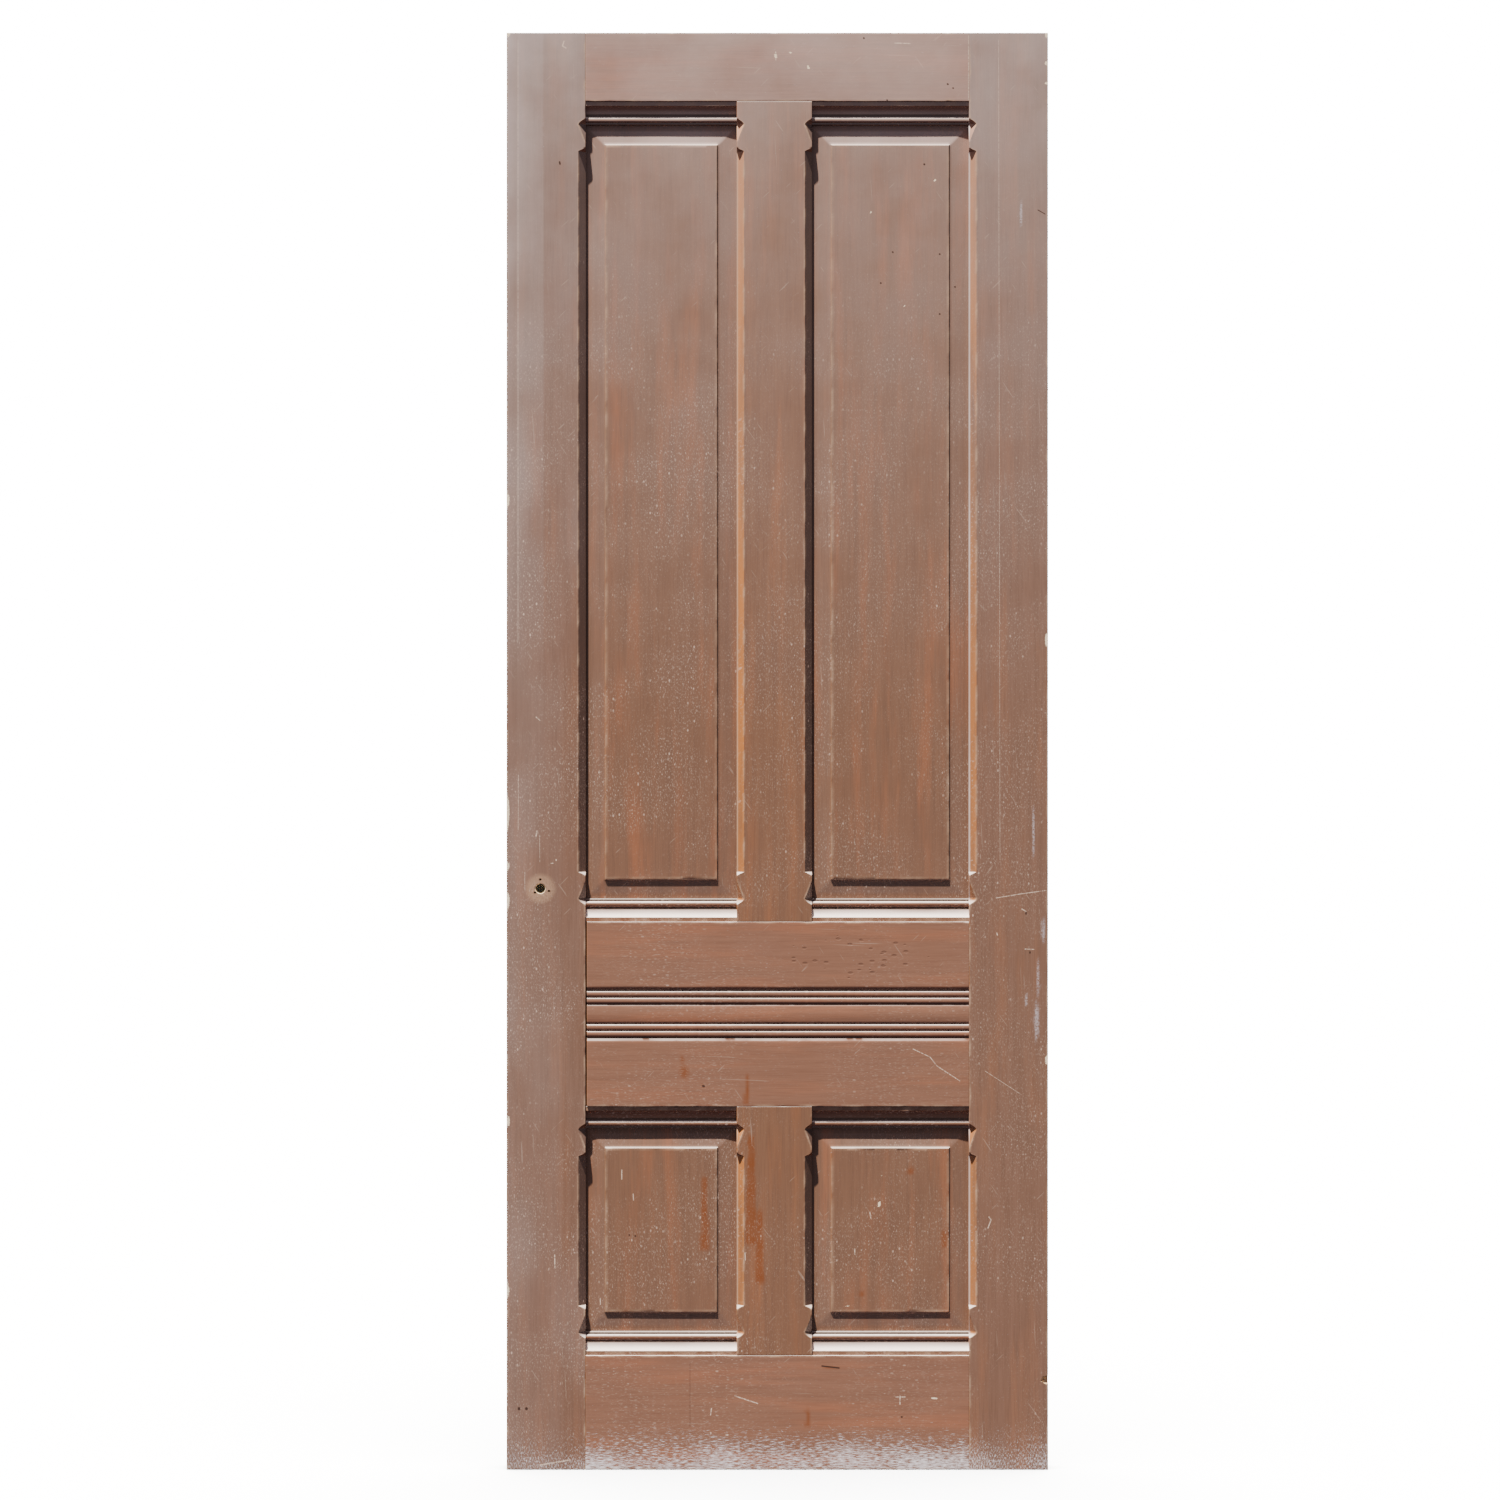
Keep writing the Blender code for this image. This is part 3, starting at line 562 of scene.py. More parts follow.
def make_rail(name, z_span, grooved, seed, reeded=False, left_gap=JOINT_GAP, tongue=None):
    """Rail: rings side by side along X, each running down the face and up the back."""
    low, high = z_span
    width = high - low
    start, end = LOCK_INNER + left_gap, HINGE_INNER - JOINT_GAP
    x = spaced(np.concatenate([np.arange(start + FIRST_RING, end - FIRST_RING, ALONG_STEP),
                               end_steps(start, end)]), LEAST_GAP)
    columns = []
    for number, has_groove in enumerate(grooved):
        radius = worn_radius(x, seed + number)
        groove = np.full_like(x, GROOVE_DEPTH) if has_groove else None
        columns.append(side_columns(np.zeros_like(x), radius, groove))
    lines = np.linspace(0, width, int(width / FACE_STEP))
    section = None
    if reeded:
        section = reed_section()
        section[:, 0] += REED_AXIS_DROP - section[-1, 0] / 2
        outside = (lines < section[0, 0] - MM) | (lines > section[-1, 0] + MM)
        lines = spaced(np.concatenate([lines[outside], section[:, 0]]), 0.03 * MM)

    def face_depth(down):
        relief = face_relief(x, high - down, seed)
        if section is None:
            return relief
        outside = np.abs(down - REED_AXIS_DROP) - (section[-1, 0] - section[0, 0]) / 2
        relief = relief * np.clip(outside / (6 * MM), 0, 1)
        return relief + np.interp(down, section[:, 0], section[:, 1])

    down, depth = ring_rows(columns, width, face_depth, lines)
    down, depth = eased_ends(x, down, depth, width)
    z = high - down
    points = np.stack([np.broadcast_to(x[:, None], z.shape), FRONT + depth, z], axis=-1)
    mesh = tube_mesh(name, points)
    wear_and_highlight = arris_wear_and_highlight(down, depth, columns, width, x, end, start, seed)
    shade_and_dirt = np.zeros(z.shape)
    # Painted shade: the reeds' quirks are darkened, where the beads shade them
    if reeded:
        shade_and_dirt = np.clip(depth / REED_FLOOR, 0, 1) ** 4 * (depth < 4 * MM)
    paint_wear_and_light(mesh, points[..., 0], z, wear_and_highlight, shade_and_dirt)
    mesh = carve(mesh, finishes["rails"], (), tongue)
    return finish_piece(name + "_wood", mesh, "rails", [name])


def panel_lines(low, high, margin_low, margin_high):
    """Lines across the field of a panel, a few millimetres apart, ends included."""
    start, end = low + margin_low, high - margin_high
    return np.linspace(start, end, max(12, int((end - start) / (4.5 * MM))))


def make_panel(name, x_span, z_span, seed):
    """Panel: a grid for the field, then rings outwards down the step, the bevel and the tongue."""
    left, right = x_span
    low, high = z_span
    end_inset = MOULDING_WIDTH + MARGIN_WIDTH
    u = panel_lines(left, right, MARGIN_WIDTH, MARGIN_WIDTH)
    v = panel_lines(low, high, end_inset, end_inset)
    grid_x, grid_z = np.meshgrid(u, v, indexing="ij")
    relief = 0.25 * MM * ripple(grid_x, grid_z, seed, 260 * MM) ** 2
    field = np.stack([grid_x, FRONT + FIELD_DEPTH + relief, grid_z], axis=-1)
    columns, rows = grid_x.shape
    index = np.arange(columns * rows).reshape(columns, rows)
    loop = np.concatenate([index[:-1, 0], index[-1, :-1], index[:0:-1, -1], index[0, :0:-1]])
    border = field.reshape(-1, 3)[loop]
    share_x = (border[:, 0] - u[0]) / (u[-1] - u[0])
    share_z = (border[:, 2] - v[0]) / (v[-1] - v[0])
    # Each ring: how far it lies inside the opening at the sides and at the ends, and its depth
    foot_end = MOULDING_WIDTH - COVERED_BEVEL
    rings = [(MARGIN_WIDTH - 0.3 * MM, end_inset - 0.3 * MM, FIELD_DEPTH + 0.25 * MM),
             (MARGIN_WIDTH - STEP_WIDTH * 0.8, end_inset - STEP_WIDTH * 0.8,
              BEVEL_TOP_DEPTH - 0.4 * MM),
             (MARGIN_WIDTH - STEP_WIDTH, end_inset - STEP_WIDTH, BEVEL_TOP_DEPTH)]
    for share in np.linspace(0, 1, 9)[1:]:
        rings.append(((MARGIN_WIDTH - STEP_WIDTH) * (1 - share),
                      (end_inset - STEP_WIDTH) * (1 - share) + foot_end * share,
                      BEVEL_TOP_DEPTH + (BEVEL_FOOT_DEPTH - BEVEL_TOP_DEPTH) * share))
    rings.append((-TONGUE_REACH, -TONGUE_REACH, BEVEL_FOOT_DEPTH))
    rings.append((-TONGUE_REACH, -TONGUE_REACH, PANEL_BACK - FRONT))
    points = [field.reshape(-1, 3)]
    for side, end, depth in rings:
        ring_x = left + side + (right - left - 2 * side) * share_x
        ring_z = low + end + (high - low - 2 * end) * share_z
        points.append(np.stack([ring_x, np.full_like(ring_x, FRONT + depth), ring_z], axis=1))
    quads = np.stack([index[:-1, :-1], index[1:, :-1], index[1:, 1:], index[:-1, 1:]], axis=-1)
    faces = quads.reshape(-1, 4).tolist()
    inner = loop
    for number in range(len(rings)):
        outer = columns * rows + number * len(loop) + np.arange(len(loop))
        strip = np.stack([inner, outer, np.roll(outer, -1), np.roll(inner, -1)], axis=1)
        faces += strip.tolist()
        inner = outer
    faces.append(inner[::-1].tolist())
    points = np.concatenate(points)
    mesh = closed_mesh(name, points, faces)
    x, depth, z = points[:, 0], points[:, 1] - FRONT, points[:, 2]
    from_side = np.minimum(x - left, right - x)
    from_end = np.minimum(z - low, high - z) - MOULDING_WIDTH
    corner = np.minimum(from_side, from_end)
    # Painted shade: the bevel darkens within 6 mm of the frame, where the frame shades it
    shade_and_dirt = np.clip(1 - corner / (6 * MM), 0, 1) * 0.7
    # A pale, broken line along the arris of the field: wear and painted highlight
    step = np.clip(1 - np.abs(depth - FIELD_DEPTH - 0.2 * MM) / (0.4 * MM), 0, 1)
    edge = np.minimum(from_side - MARGIN_WIDTH, from_end - MARGIN_WIDTH)
    wear_and_highlight = step * (np.abs(edge) < 1 * MM) * np.clip(0.4 + 0.4 * wander(x + z, seed, 60 * MM), 0, 1)
    front = depth < 18.5 * MM
    on_bevel = front & (depth > FIELD_DEPTH + 1 * MM)
    # Painted light and shade on the margins: the one that looks up, towards the key light, is paled through
    # the bloom and sheen, and painted shade darkens those that look down and away from the light
    gaps = np.stack([x - left, right - x, z - low - MOULDING_WIDTH, high - z - MOULDING_WIDTH])
    margin = np.argmin(gaps, axis=0)
    painted_top_light = 0.24 if low > LOCK_RAIL_TOP - MM else 0.06
    more_bloom_and_light = on_bevel * np.array([0.02, 0.02, 0.05, painted_top_light])[margin]
    shade_and_dirt = np.clip(shade_and_dirt + np.array([0.0, 0.1, 0.2, 0.0])[margin], 0, 1)
    paint_wear_and_light(mesh, x, z, wear_and_highlight * front, shade_and_dirt * on_bevel, more_bloom_and_light)
    return finish_piece(name + "_wood", mesh, "panels", [name])


def moulding_section():
    """Points (across, depth) round a planted moulding: fillet, cove, quirk, bead, fillet, back."""
    angle = np.linspace(0, np.pi / 2, 16)
    cove = np.stack([MOULDING_FILLET + COVE_WIDTH * (1 - np.cos(angle)),
                     MOULDING_FILLET_DEPTH + COVE_DEPTH * np.sin(angle)], axis=1)
    quirk = MOULDING_FILLET + COVE_WIDTH
    bead = half_round(quirk + QUIRK_WIDTH, BEAD_WIDTH, QUIRK_DEPTH,
                      QUIRK_DEPTH - BEAD_CREST_DEPTH, 20)
    fillet = quirk + QUIRK_WIDTH + BEAD_WIDTH + OUTER_GROOVE
    back = BEVEL_FOOT_DEPTH - CLEARANCE
    ease = 0.4 * MM
    rows = [[(CLEARANCE, MOULDING_FILLET_DEPTH + ease), (CLEARANCE + ease, MOULDING_FILLET_DEPTH),
             (MOULDING_FILLET / 2, MOULDING_FILLET_DEPTH),
             (MOULDING_FILLET - ease, MOULDING_FILLET_DEPTH)], cove[1:],
            [(quirk + 0.2 * MM, QUIRK_DEPTH), (quirk + QUIRK_WIDTH * 0.7, QUIRK_DEPTH)], bead,
            [(fillet, QUIRK_DEPTH), (fillet + 0.1 * MM, OUTER_FILLET_DEPTH + ease / 2),
             (fillet + ease, OUTER_FILLET_DEPTH)],
            np.stack([MOULDING_WIDTH - OUTER_ARRIS * (1 - np.sin(angle[::3])),
                      OUTER_FILLET_DEPTH + OUTER_ARRIS * (1 - np.cos(angle[::3]))], axis=1),
            [(MOULDING_WIDTH, (OUTER_FILLET_DEPTH + back) / 2 + OUTER_ARRIS / 2),
             (MOULDING_WIDTH, back), (CLEARANCE, back)]]
    return np.concatenate([np.array(row) for row in rows])


def back_moulding_section():
    """Points (across, depth from the back) round a plain back moulding: a flat and a slope."""
    back = THICKNESS - (PANEL_BACK - FRONT) - CLEARANCE
    return np.array([(CLEARANCE, BACK_MOULDING_DROP + 0.4 * MM), (0.4 * MM, BACK_MOULDING_DROP),
                     (BACK_MOULDING_FLAT - 0.4 * MM, BACK_MOULDING_DROP),
                     (BACK_MOULDING_FLAT + 0.5 * MM, BACK_MOULDING_DROP + 0.2 * MM),
                     (BACK_MOULDING_WIDTH - 0.5 * MM, BACK_MOULDING_NOSE_DEPTH - 0.3 * MM),
                     (BACK_MOULDING_WIDTH, BACK_MOULDING_NOSE_DEPTH + 0.3 * MM),
                     (BACK_MOULDING_WIDTH, back), (CLEARANCE, back)])


def make_moulding(name, x_span, edge, away, section, from_back, seed):
    """Moulding: its section carried along X from side to side of an opening."""
    left, right = x_span[0] + JOINT_GAP, x_span[1] - JOINT_GAP
    x = spaced(np.concatenate([np.arange(left + FIRST_RING, right - FIRST_RING, ALONG_STEP),
                               end_steps(left, right)]), LEAST_GAP)
    across = np.broadcast_to(section[:, 0], (len(x), len(section)))
    depth = np.broadcast_to(section[:, 1], across.shape)
    bow = 0.15 * MM * (1 + wander(x, seed, 300 * MM))[:, None]
    depth = depth + bow * (depth < 13 * MM)
    y = BACK - depth if from_back else FRONT + depth
    z = edge + away * across
    spread_x = np.broadcast_to(x[:, None], across.shape)
    mesh = tube_mesh(name, np.stack([spread_x, y, z], axis=-1))
    crest = np.abs(section[:, 1] - section[:, 1].min()) < 0.3 * MM
    wear_and_highlight = crest[None, :] * np.clip(0.3 + 0.6 * wander(x, seed, 50 * MM, 5), 0, 1)[:, None] * 0.5
    # Painted shade: darker over the deep parts outside the cove (the quirk, the foot of the bead, the outer
    # fillet and the back), and a little darker on the inner fillet; a dark joint line where the moulding
    # meets the rail
    in_cove = (across > MOULDING_FILLET + 0.2 * MM) & (across < MOULDING_FILLET + COVE_WIDTH)
    shade_and_dirt = np.clip((depth - 9.5 * MM) / (2 * MM), 0, 1) * 0.8 * ~in_cove
    shade_and_dirt = np.maximum(shade_and_dirt, 0.18 * (across < MOULDING_FILLET))
    shade_and_dirt = np.maximum(shade_and_dirt, 0.6 * (across < 0.5 * MM))
    if from_back:
        paint_wear_and_light(mesh, spread_x, z, wear_and_highlight, shade_and_dirt * 0)
    else:
        # Painted highlight, partly dust: the cove of a bottom moulding looks up towards the key light and is
        # paled through the bloom and sheen
        paint_wear_and_light(mesh, spread_x, z, wear_and_highlight, shade_and_dirt, 0.6 * in_cove * (away > 0))
    return finish_piece(name + "_wood", mesh, "mouldings", [name])


def cutter_object(name, mesh, material):
    """Temporary solid whose material goes onto the faces that it cuts."""
    mesh.materials.append(material)
    return placed(name, mesh)


def block_mesh(spans_list):
    """One mesh of boxes, each given by its spans in X, Y and Z."""
    mesh = bpy.data.meshes.new("block")
    shape = bmesh.new()
    for spans in spans_list:
        made = bmesh.ops.create_cube(shape, size=1.0)["verts"]
        size = [high - low for low, high in spans]
        centre = [(high + low) / 2 for low, high in spans]
        bmesh.ops.scale(shape, vec=size, verts=made)
        bmesh.ops.translate(shape, vec=centre, verts=made)
    shape.to_mesh(mesh)
    shape.free()
    return mesh


def carve(mesh, material, cutters, added=None):
    """Cut the cutters from a mesh, or add one solid to it, and give back the new mesh."""
    mesh.materials.append(material)
    if not cutters and added is None:
        return mesh
    base = placed("blank", mesh)
    others = list(cutters) + ([added] if added else [])
    for other in others:
        modifier = base.modifiers.new(other.name, "BOOLEAN")
        modifier.operation = "UNION" if other is added else "DIFFERENCE"
        modifier.solver = "EXACT"
        modifier.material_mode = "TRANSFER"
        modifier.object = other
    bpy.context.view_layer.update()
    graph = bpy.context.evaluated_depsgraph_get()
    carved = bpy.data.meshes.new_from_object(base.evaluated_get(graph))
    bpy.data.objects.remove(base)
    for other in others:
        bpy.data.objects.remove(other)
    return carved


def linear(colour):
    """Linear RGBA of an sRGB hex colour."""
    values = [int(colour[place:place + 2], 16) / 255 for place in (0, 2, 4)]
    return (*[value / 12.92 if value <= 0.04045 else ((value + 0.055) / 1.055) ** 2.4
              for value in values], 1.0)


def add(tree, kind, inputs=None, **settings):
    """Add a node and give back its outputs; an input is a value to set or a socket to link."""
    made = tree.nodes.new("ShaderNode" + kind)
    for name, value in settings.items():
        setattr(made, name, value)
    for name, value in (inputs or {}).items():
        if isinstance(value, bpy.types.NodeSocket):
            tree.links.new(value, made.inputs[name])
        else:
            made.inputs[name].default_value = value
    return made.outputs


# A Map Range node's inputs: 0 value, 1 and 2 the ends of the step, 3 and 4 what it gives there
SMOOTH = {"interpolation_type": "SMOOTHSTEP"}


def new_material(name):
    """Material with its shader, and the function that adds nodes to it."""
    material = bpy.data.materials.new(name)
    material.use_nodes = True
    tree = material.node_tree
    return material, tree.nodes["Principled BSDF"], functools.partial(add, tree)


def scratch_mask(node, place, strokes):
    """Mask of straight strokes, by distance from each; strokes in pixels of the photograph."""
    flat = node("VectorMath", {0: place, 1: (1, 0, 1)}, operation="MULTIPLY")[0]
    total = None
    for start_column, start_row, end_column, end_row, width in strokes:
        start_x, start_z = at_pixel(start_column, start_row)
        end_x, end_z = at_pixel(end_column, end_row)
        run = Vector((end_x - start_x, 0, end_z - start_z))
        offset = node("VectorMath", {0: flat, 1: (start_x, 0, start_z)}, operation="SUBTRACT")[0]
        along = node("VectorMath", {0: offset, 1: tuple(run / max(run.length_squared, 1e-9))},
                     operation="DOT_PRODUCT")["Value"]
        along = node("Clamp", {0: along})[0]
        foot = node("VectorMath", {0: tuple(run), "Scale": along}, operation="SCALE")[0]
        far = node("VectorMath", {0: offset, 1: foot}, operation="DISTANCE")["Value"]
        reach = width * PIXEL / 2
        mask = node("MapRange", {0: far, 1: reach * 1.25, 2: reach * 0.6}, **SMOOTH)[0]
        total = mask if total is None else node("Math", {0: total, 1: mask}, operation="MAXIMUM")[0]
    return total


# Old spirit varnish brushed on softwood, thin and dried out: brown with warm cloudy streaks along
# the grain, bleached grey where the damp has bloomed it, with a low, broken gloss. It also carries
# painted light and shade: a sheen, highlights and a warm glow on what faces the key light, and shade
# on what faces away or down.
def varnished_wood(name, grain, colours, dust_and_light, dust_and_light_from, sides, pale_strokes, dark_strokes, shift):
    base, dark, warm, veil_colour = colours
    glow, shade = sides
    upright = grain == "upright"
    material, shader, node = new_material(name)
    place = node("TexCoord")["Object"]
    facing = node("SeparateXYZ", {0: node("NewGeometry")["Normal"]})
    wear_and_light = {mark: node("Attribute", attribute_name=mark)["Fac"] for mark in WEAR_AND_LIGHT}
    # The pattern of specks runs on round the arrises: thickness counts for part of each axis
    flat = node("CombineXYZ", {
        axis: node("VectorMath", {0: place, 1: shares}, operation="DOT_PRODUCT")["Value"]
        for axis, shares in (("X", (1, 0.6, 0)), ("Y", (0, 0.37, 1)))})[0]
    # Patterns are drawn out along the grain: source, start, scale on upright wood and on level wood
    spaces = {"place": place}
    for space, source, start, on_upright, on_level in (
            ("broad", place, (shift, shift, shift), (1, 1, 0.09), (0.09, 1, 1)),
            ("fine", place, (0, shift, 0), (1, 1, 0.03), (0.03, 1, 1)),
            ("brushed", flat, (0, 0, 0), (1, 0.3, 1), (0.11, 1, 1)),
            ("drawn", flat, (0, 0, 0), (1, 0.36, 1), (0.2, 1, 1)),
            ("flecked", flat, (0, 0, 0), (1, 0.6, 1), (0.5, 1, 1)),
            ("knocked", flat, (0, 0, 0), (0.5, 1, 1), (0.5, 1, 1))):
        spaces[space] = node("Mapping", {"Vector": source, "Location": start,
                                         "Scale": on_upright if upright else on_level})[0]
    # Grains to the metre: heartwood streaks about 35 mm across, growth rings 7 mm, fibres 1.5 mm,
    # clouds in the varnish 170 mm, grit 2.4 mm, dents 17 mm, scuffing 1.4 mm, flecks 1.6 and 3.3 mm
    noises = {}
    for pattern, space, per_metre, detail, roughness, dimensions in (
            ("streaks", "broad", 28, 6, 0.6, "3D"), ("rings", "fine", 150, 4, 0.65, "3D"),
            ("fibres", "fine", 640, 2, 0.5, "3D"), ("clouds", "place", 6, 5, 0.55, "3D"),
            ("grit", "place", 420, 3, 0.7, "3D"), ("dents", "place", 60, 3, 0.5, "3D"),
            ("scuffing", "brushed", 720, 5, 0.75, "2D"), ("small_flecks", "drawn", 640, 2.5, 0.6, "2D"),
            ("large_flecks", "drawn", 300, 2.5, 0.6, "2D")):
        noises[pattern] = node("TexNoise", {
            "Vector": spaces[space], "Scale": per_metre, "Detail": detail, "Roughness": roughness},
            noise_dimensions=dimensions)["Fac"]
    clouds, grit = noises["clouds"], noises["grit"]
    # Dust and paint specks: small soft flecks, and rounder spots of 1 to 4 mm in cells of 11 and 5 mm
    flecks = [node("MapRange", {0: noises[flecks_size], 1: sparseness, 2: sparseness + 0.1, 4: strength},
                   **SMOOTH)[0]
              for flecks_size, sparseness, strength in (("small_flecks", 0.6, 0.3),
                                                        ("large_flecks", 0.65, 0.28))]
    for per_metre, largest, strength in ((95, 0.16, 0.6), (210, 0.2, 0.5)):
        cells = node("TexVoronoi", {"Vector": spaces["flecked"], "Scale": per_metre},
                     voronoi_dimensions="2D")
        odds = node("SeparateColor", {0: cells["Color"]})
        size = node("MapRange", {0: odds[0], 1: 0.55, 2: 1.0, 4: largest}, **SMOOTH)[0]
        inside = node("Math", {0: size, 1: cells["Distance"]}, operation="SUBTRACT")[0]
        filled = node("MapRange", {0: inside, 1: 0.0, 2: 0.07}, **SMOOTH)[0]
        paleness = node("MapRange", {0: odds[1], 1: 0.1, 2: 0.9, 4: strength}, **SMOOTH)[0]
        flecks.append(node("Math", {0: filled, 1: paleness}, operation="MULTIPLY")[0])
    # Small holes and knocks in cells of 10 mm, thick on the lock rail where the mark "dented" says
    cells = node("TexVoronoi", {"Vector": spaces["knocked"], "Scale": 105}, voronoi_dimensions="2D")
    odds = node("SeparateColor", {0: cells["Color"]})[0]
    odds = node("Math", {0: wear_and_light["dented"], 1: 0.42, 2: odds}, operation="MULTIPLY_ADD")[0]
    size = node("MapRange", {0: odds, 1: 0.975, 2: 1.25, 4: 0.3}, **SMOOTH)[0]
    inside = node("Math", {0: size, 1: cells["Distance"]}, operation="SUBTRACT")[0]
    hollow = node("MapRange", {0: inside, 1: 0.0, 2: 0.16}, **SMOOTH)[0]
    # Fine scratches of about 3 mm by 40 to 120 mm, most of them near the grain's own direction
    scratches = []
    for turn, length in ((0.06 if upright else 1.53, 0.025), (0.6, 0.06), (-0.8, 0.07)):
        turned = node("VectorRotate", {"Vector": place, "Angle": turn}, rotation_type="Y_AXIS")[0]
        slant = node("Mapping", {"Vector": turned, "Scale": (1, 1, length)})[0]
        lines = node("TexNoise", {"Vector": slant, "Scale": 330, "Detail": 1})["Fac"]
        scratches.append(node("MapRange", {0: lines, 1: 0.76, 2: 0.8, 4: 0.24}, **SMOOTH)[0])
    greatest = []
    for layers in (flecks, scratches):
        total = layers[0]
        for layer in layers[1:]:
            total = node("Math", {0: total, 1: layer}, operation="MAXIMUM")[0]
        greatest.append(total)
    specks, scratched = greatest
    # Bloom and painted sheen: grey and cloudy
    veil = node("MapRange", {0: clouds, 1: 0.2, 2: 0.75, 4: 0.75}, **SMOOTH)[0]
    veil = node("Math", {0: wear_and_light["bloom_and_sheen"], 1: veil}, operation="MULTIPLY")[0]
    veil = node("Math", {0: wear_and_light["bloom_and_sheen"], 1: 0.65, 2: veil}, operation="MULTIPLY_ADD", use_clamp=True)[0]
    brushed = node("Math", {0: wear_and_light["scuffed"], 1: 0.3, 2: noises["scuffing"]},
                   operation="MULTIPLY_ADD")[0]
    chipped = node("Math", {0: wear_and_light["bare"], 1: grit}, operation="MULTIPLY")[0]
    chipped = node("MapRange", {0: chipped, 1: 0.22, 2: 0.34}, **SMOOTH)[0]
    # The coats in turn: a colour, and the shares that are multiplied to say how much of it shows.
    # A tuple is a smooth step over a value: the value, the step's two ends and its top
    coats = [(dark, (noises["rings"], 0.3, 0.75, 0.4)),
             (warm, (noises["streaks"], 0.46, 0.74, 0.6)),
             (dark, (clouds, 0.5, 0.75, 0.35)),
             (dark, (noises["fibres"], 0.45, 0.72, 0.42)),
             # Painted light, partly ochre dust: a warm streaky glow on sides that face the key light
             ("b87338", (facing["X"], -0.4, -0.65, 1.0), (noises["streaks"], 0.25, 0.6, glow)),
             (veil_colour, veil),
             # Pinkish grey on whatever looks upwards, towards the key light: partly dust, partly painted
             # highlight. Painted shade on what looks away from the key light, and a red-brown painted shade
             # on what looks down
             ("f5e4da", (facing["Z"], dust_and_light_from, dust_and_light_from + 0.45, 1.0), (grit, 0.1, 0.5, dust_and_light)),
             ("3c3232", (facing["X"], 0.35, 0.65, shade)),
             ("653019", (facing["Z"], -0.05, -0.55, 0.8)),
             # Painted shade and dirt first, then the marks that lie over it
             ("33241c", wear_and_light["shade_and_dirt"], 0.75),
             ("723d1a", wear_and_light["rust"], 0.9),
             ("b08d70", wear_and_light["halo"], (grit, 0.1, 0.6, 0.75)),
             ("c9bfc6", wear_and_light["scrape"], (grit, 0.36, 0.58, 1.0)),
             # Scuffing at the foot: fine pale lilac strokes along the grain, closer towards the floor
             ("e6dee2", (brushed, 0.67, 0.86, 0.95)),
             ("e0c4b2", specks, wear_and_light["specked"], (clouds, 0.34, 0.62, 1.0)),
             ("3a261c", hollow, 0.25),
             ("c0a796", scratched)]
    in_front = (facing["Y"], 0.0, -0.3, 1.0)
    if dark_strokes:
        coats.append(("3a261c", scratch_mask(node, place, dark_strokes), in_front))
    if pale_strokes:
        coats.append(("d6bda9", scratch_mask(node, place, pale_strokes), (grit, 0.3, 0.6, 1.0), in_front))
    # Rubbed arrises with painted highlight along them, then bare wood where chipped
    coats += [("b3947a", wear_and_light["rubbed_and_highlit_arris"], (grit, 0.0, 0.6, 0.9)), ("e8d2b4", chipped)]
    colour = linear(base)
    for over, *shares in coats:
        amount = None
        for share in shares:
            if isinstance(share, tuple):
                share = node("MapRange", dict(zip((0, 1, 2, 4), share)), **SMOOTH)[0]
            amount = share if amount is None else node("Math", {0: amount, 1: share},
                                                       operation="MULTIPLY")[0]
        colour = node("MixRGB", {0: amount, 1: colour, 2: linear(over)})[0]
    gloss = node("MapRange", {0: clouds, 1: 0.3, 2: 0.7, 3: 0.36, 4: 0.52})[0]
    gloss = node("MixRGB", {0: veil, 1: gloss, 2: (0.7, 0.7, 0.7, 1)})[0]
    height = noises["rings"]
    for layer, rise in ((noises["fibres"], 0.35), (scratched, -0.8), (chipped, -2.5), (hollow, -4.5),
                        (noises["dents"], 1.5)):
        height = node("Math", {0: layer, 1: rise, 2: height}, operation="MULTIPLY_ADD")[0]
    bump = node("Bump", {"Strength": 0.5, "Distance": 0.12 * MM, "Height": height})[0]
    for socket, value in (("Base Color", colour), ("Roughness", gloss), ("Normal", bump)):
        material.node_tree.links.new(value, shader.inputs[socket])
    shader.inputs["IOR"].default_value = 1.5
    return material


# Split softwood inside holes, mortises and breaks: no finish, dry and fibrous along the grain.
def raw_wood(name, dark, light):
    material, shader, node = new_material(name)
    fibre = node("Mapping", {"Vector": node("TexCoord")["Object"], "Scale": (1, 1, 0.08)})[0]
    # Splits about 2 mm wide and 25 mm long
    splits = node("TexNoise", {"Vector": fibre, "Scale": 500, "Detail": 4})["Fac"]
    ridges = node("MapRange", {0: splits, 1: 0.35, 2: 0.65}, **SMOOTH)[0]
    colour = node("MixRGB", {0: ridges, 1: linear(dark), 2: linear(light)})[0]
    bump = node("Bump", {"Strength": 0.7, "Distance": 0.4 * MM, "Height": splits})[0]
    for socket, value in (("Base Color", colour), ("Normal", bump)):
        material.node_tree.links.new(value, shader.inputs[socket])
    shader.inputs["Roughness"].default_value = 0.8
    return material


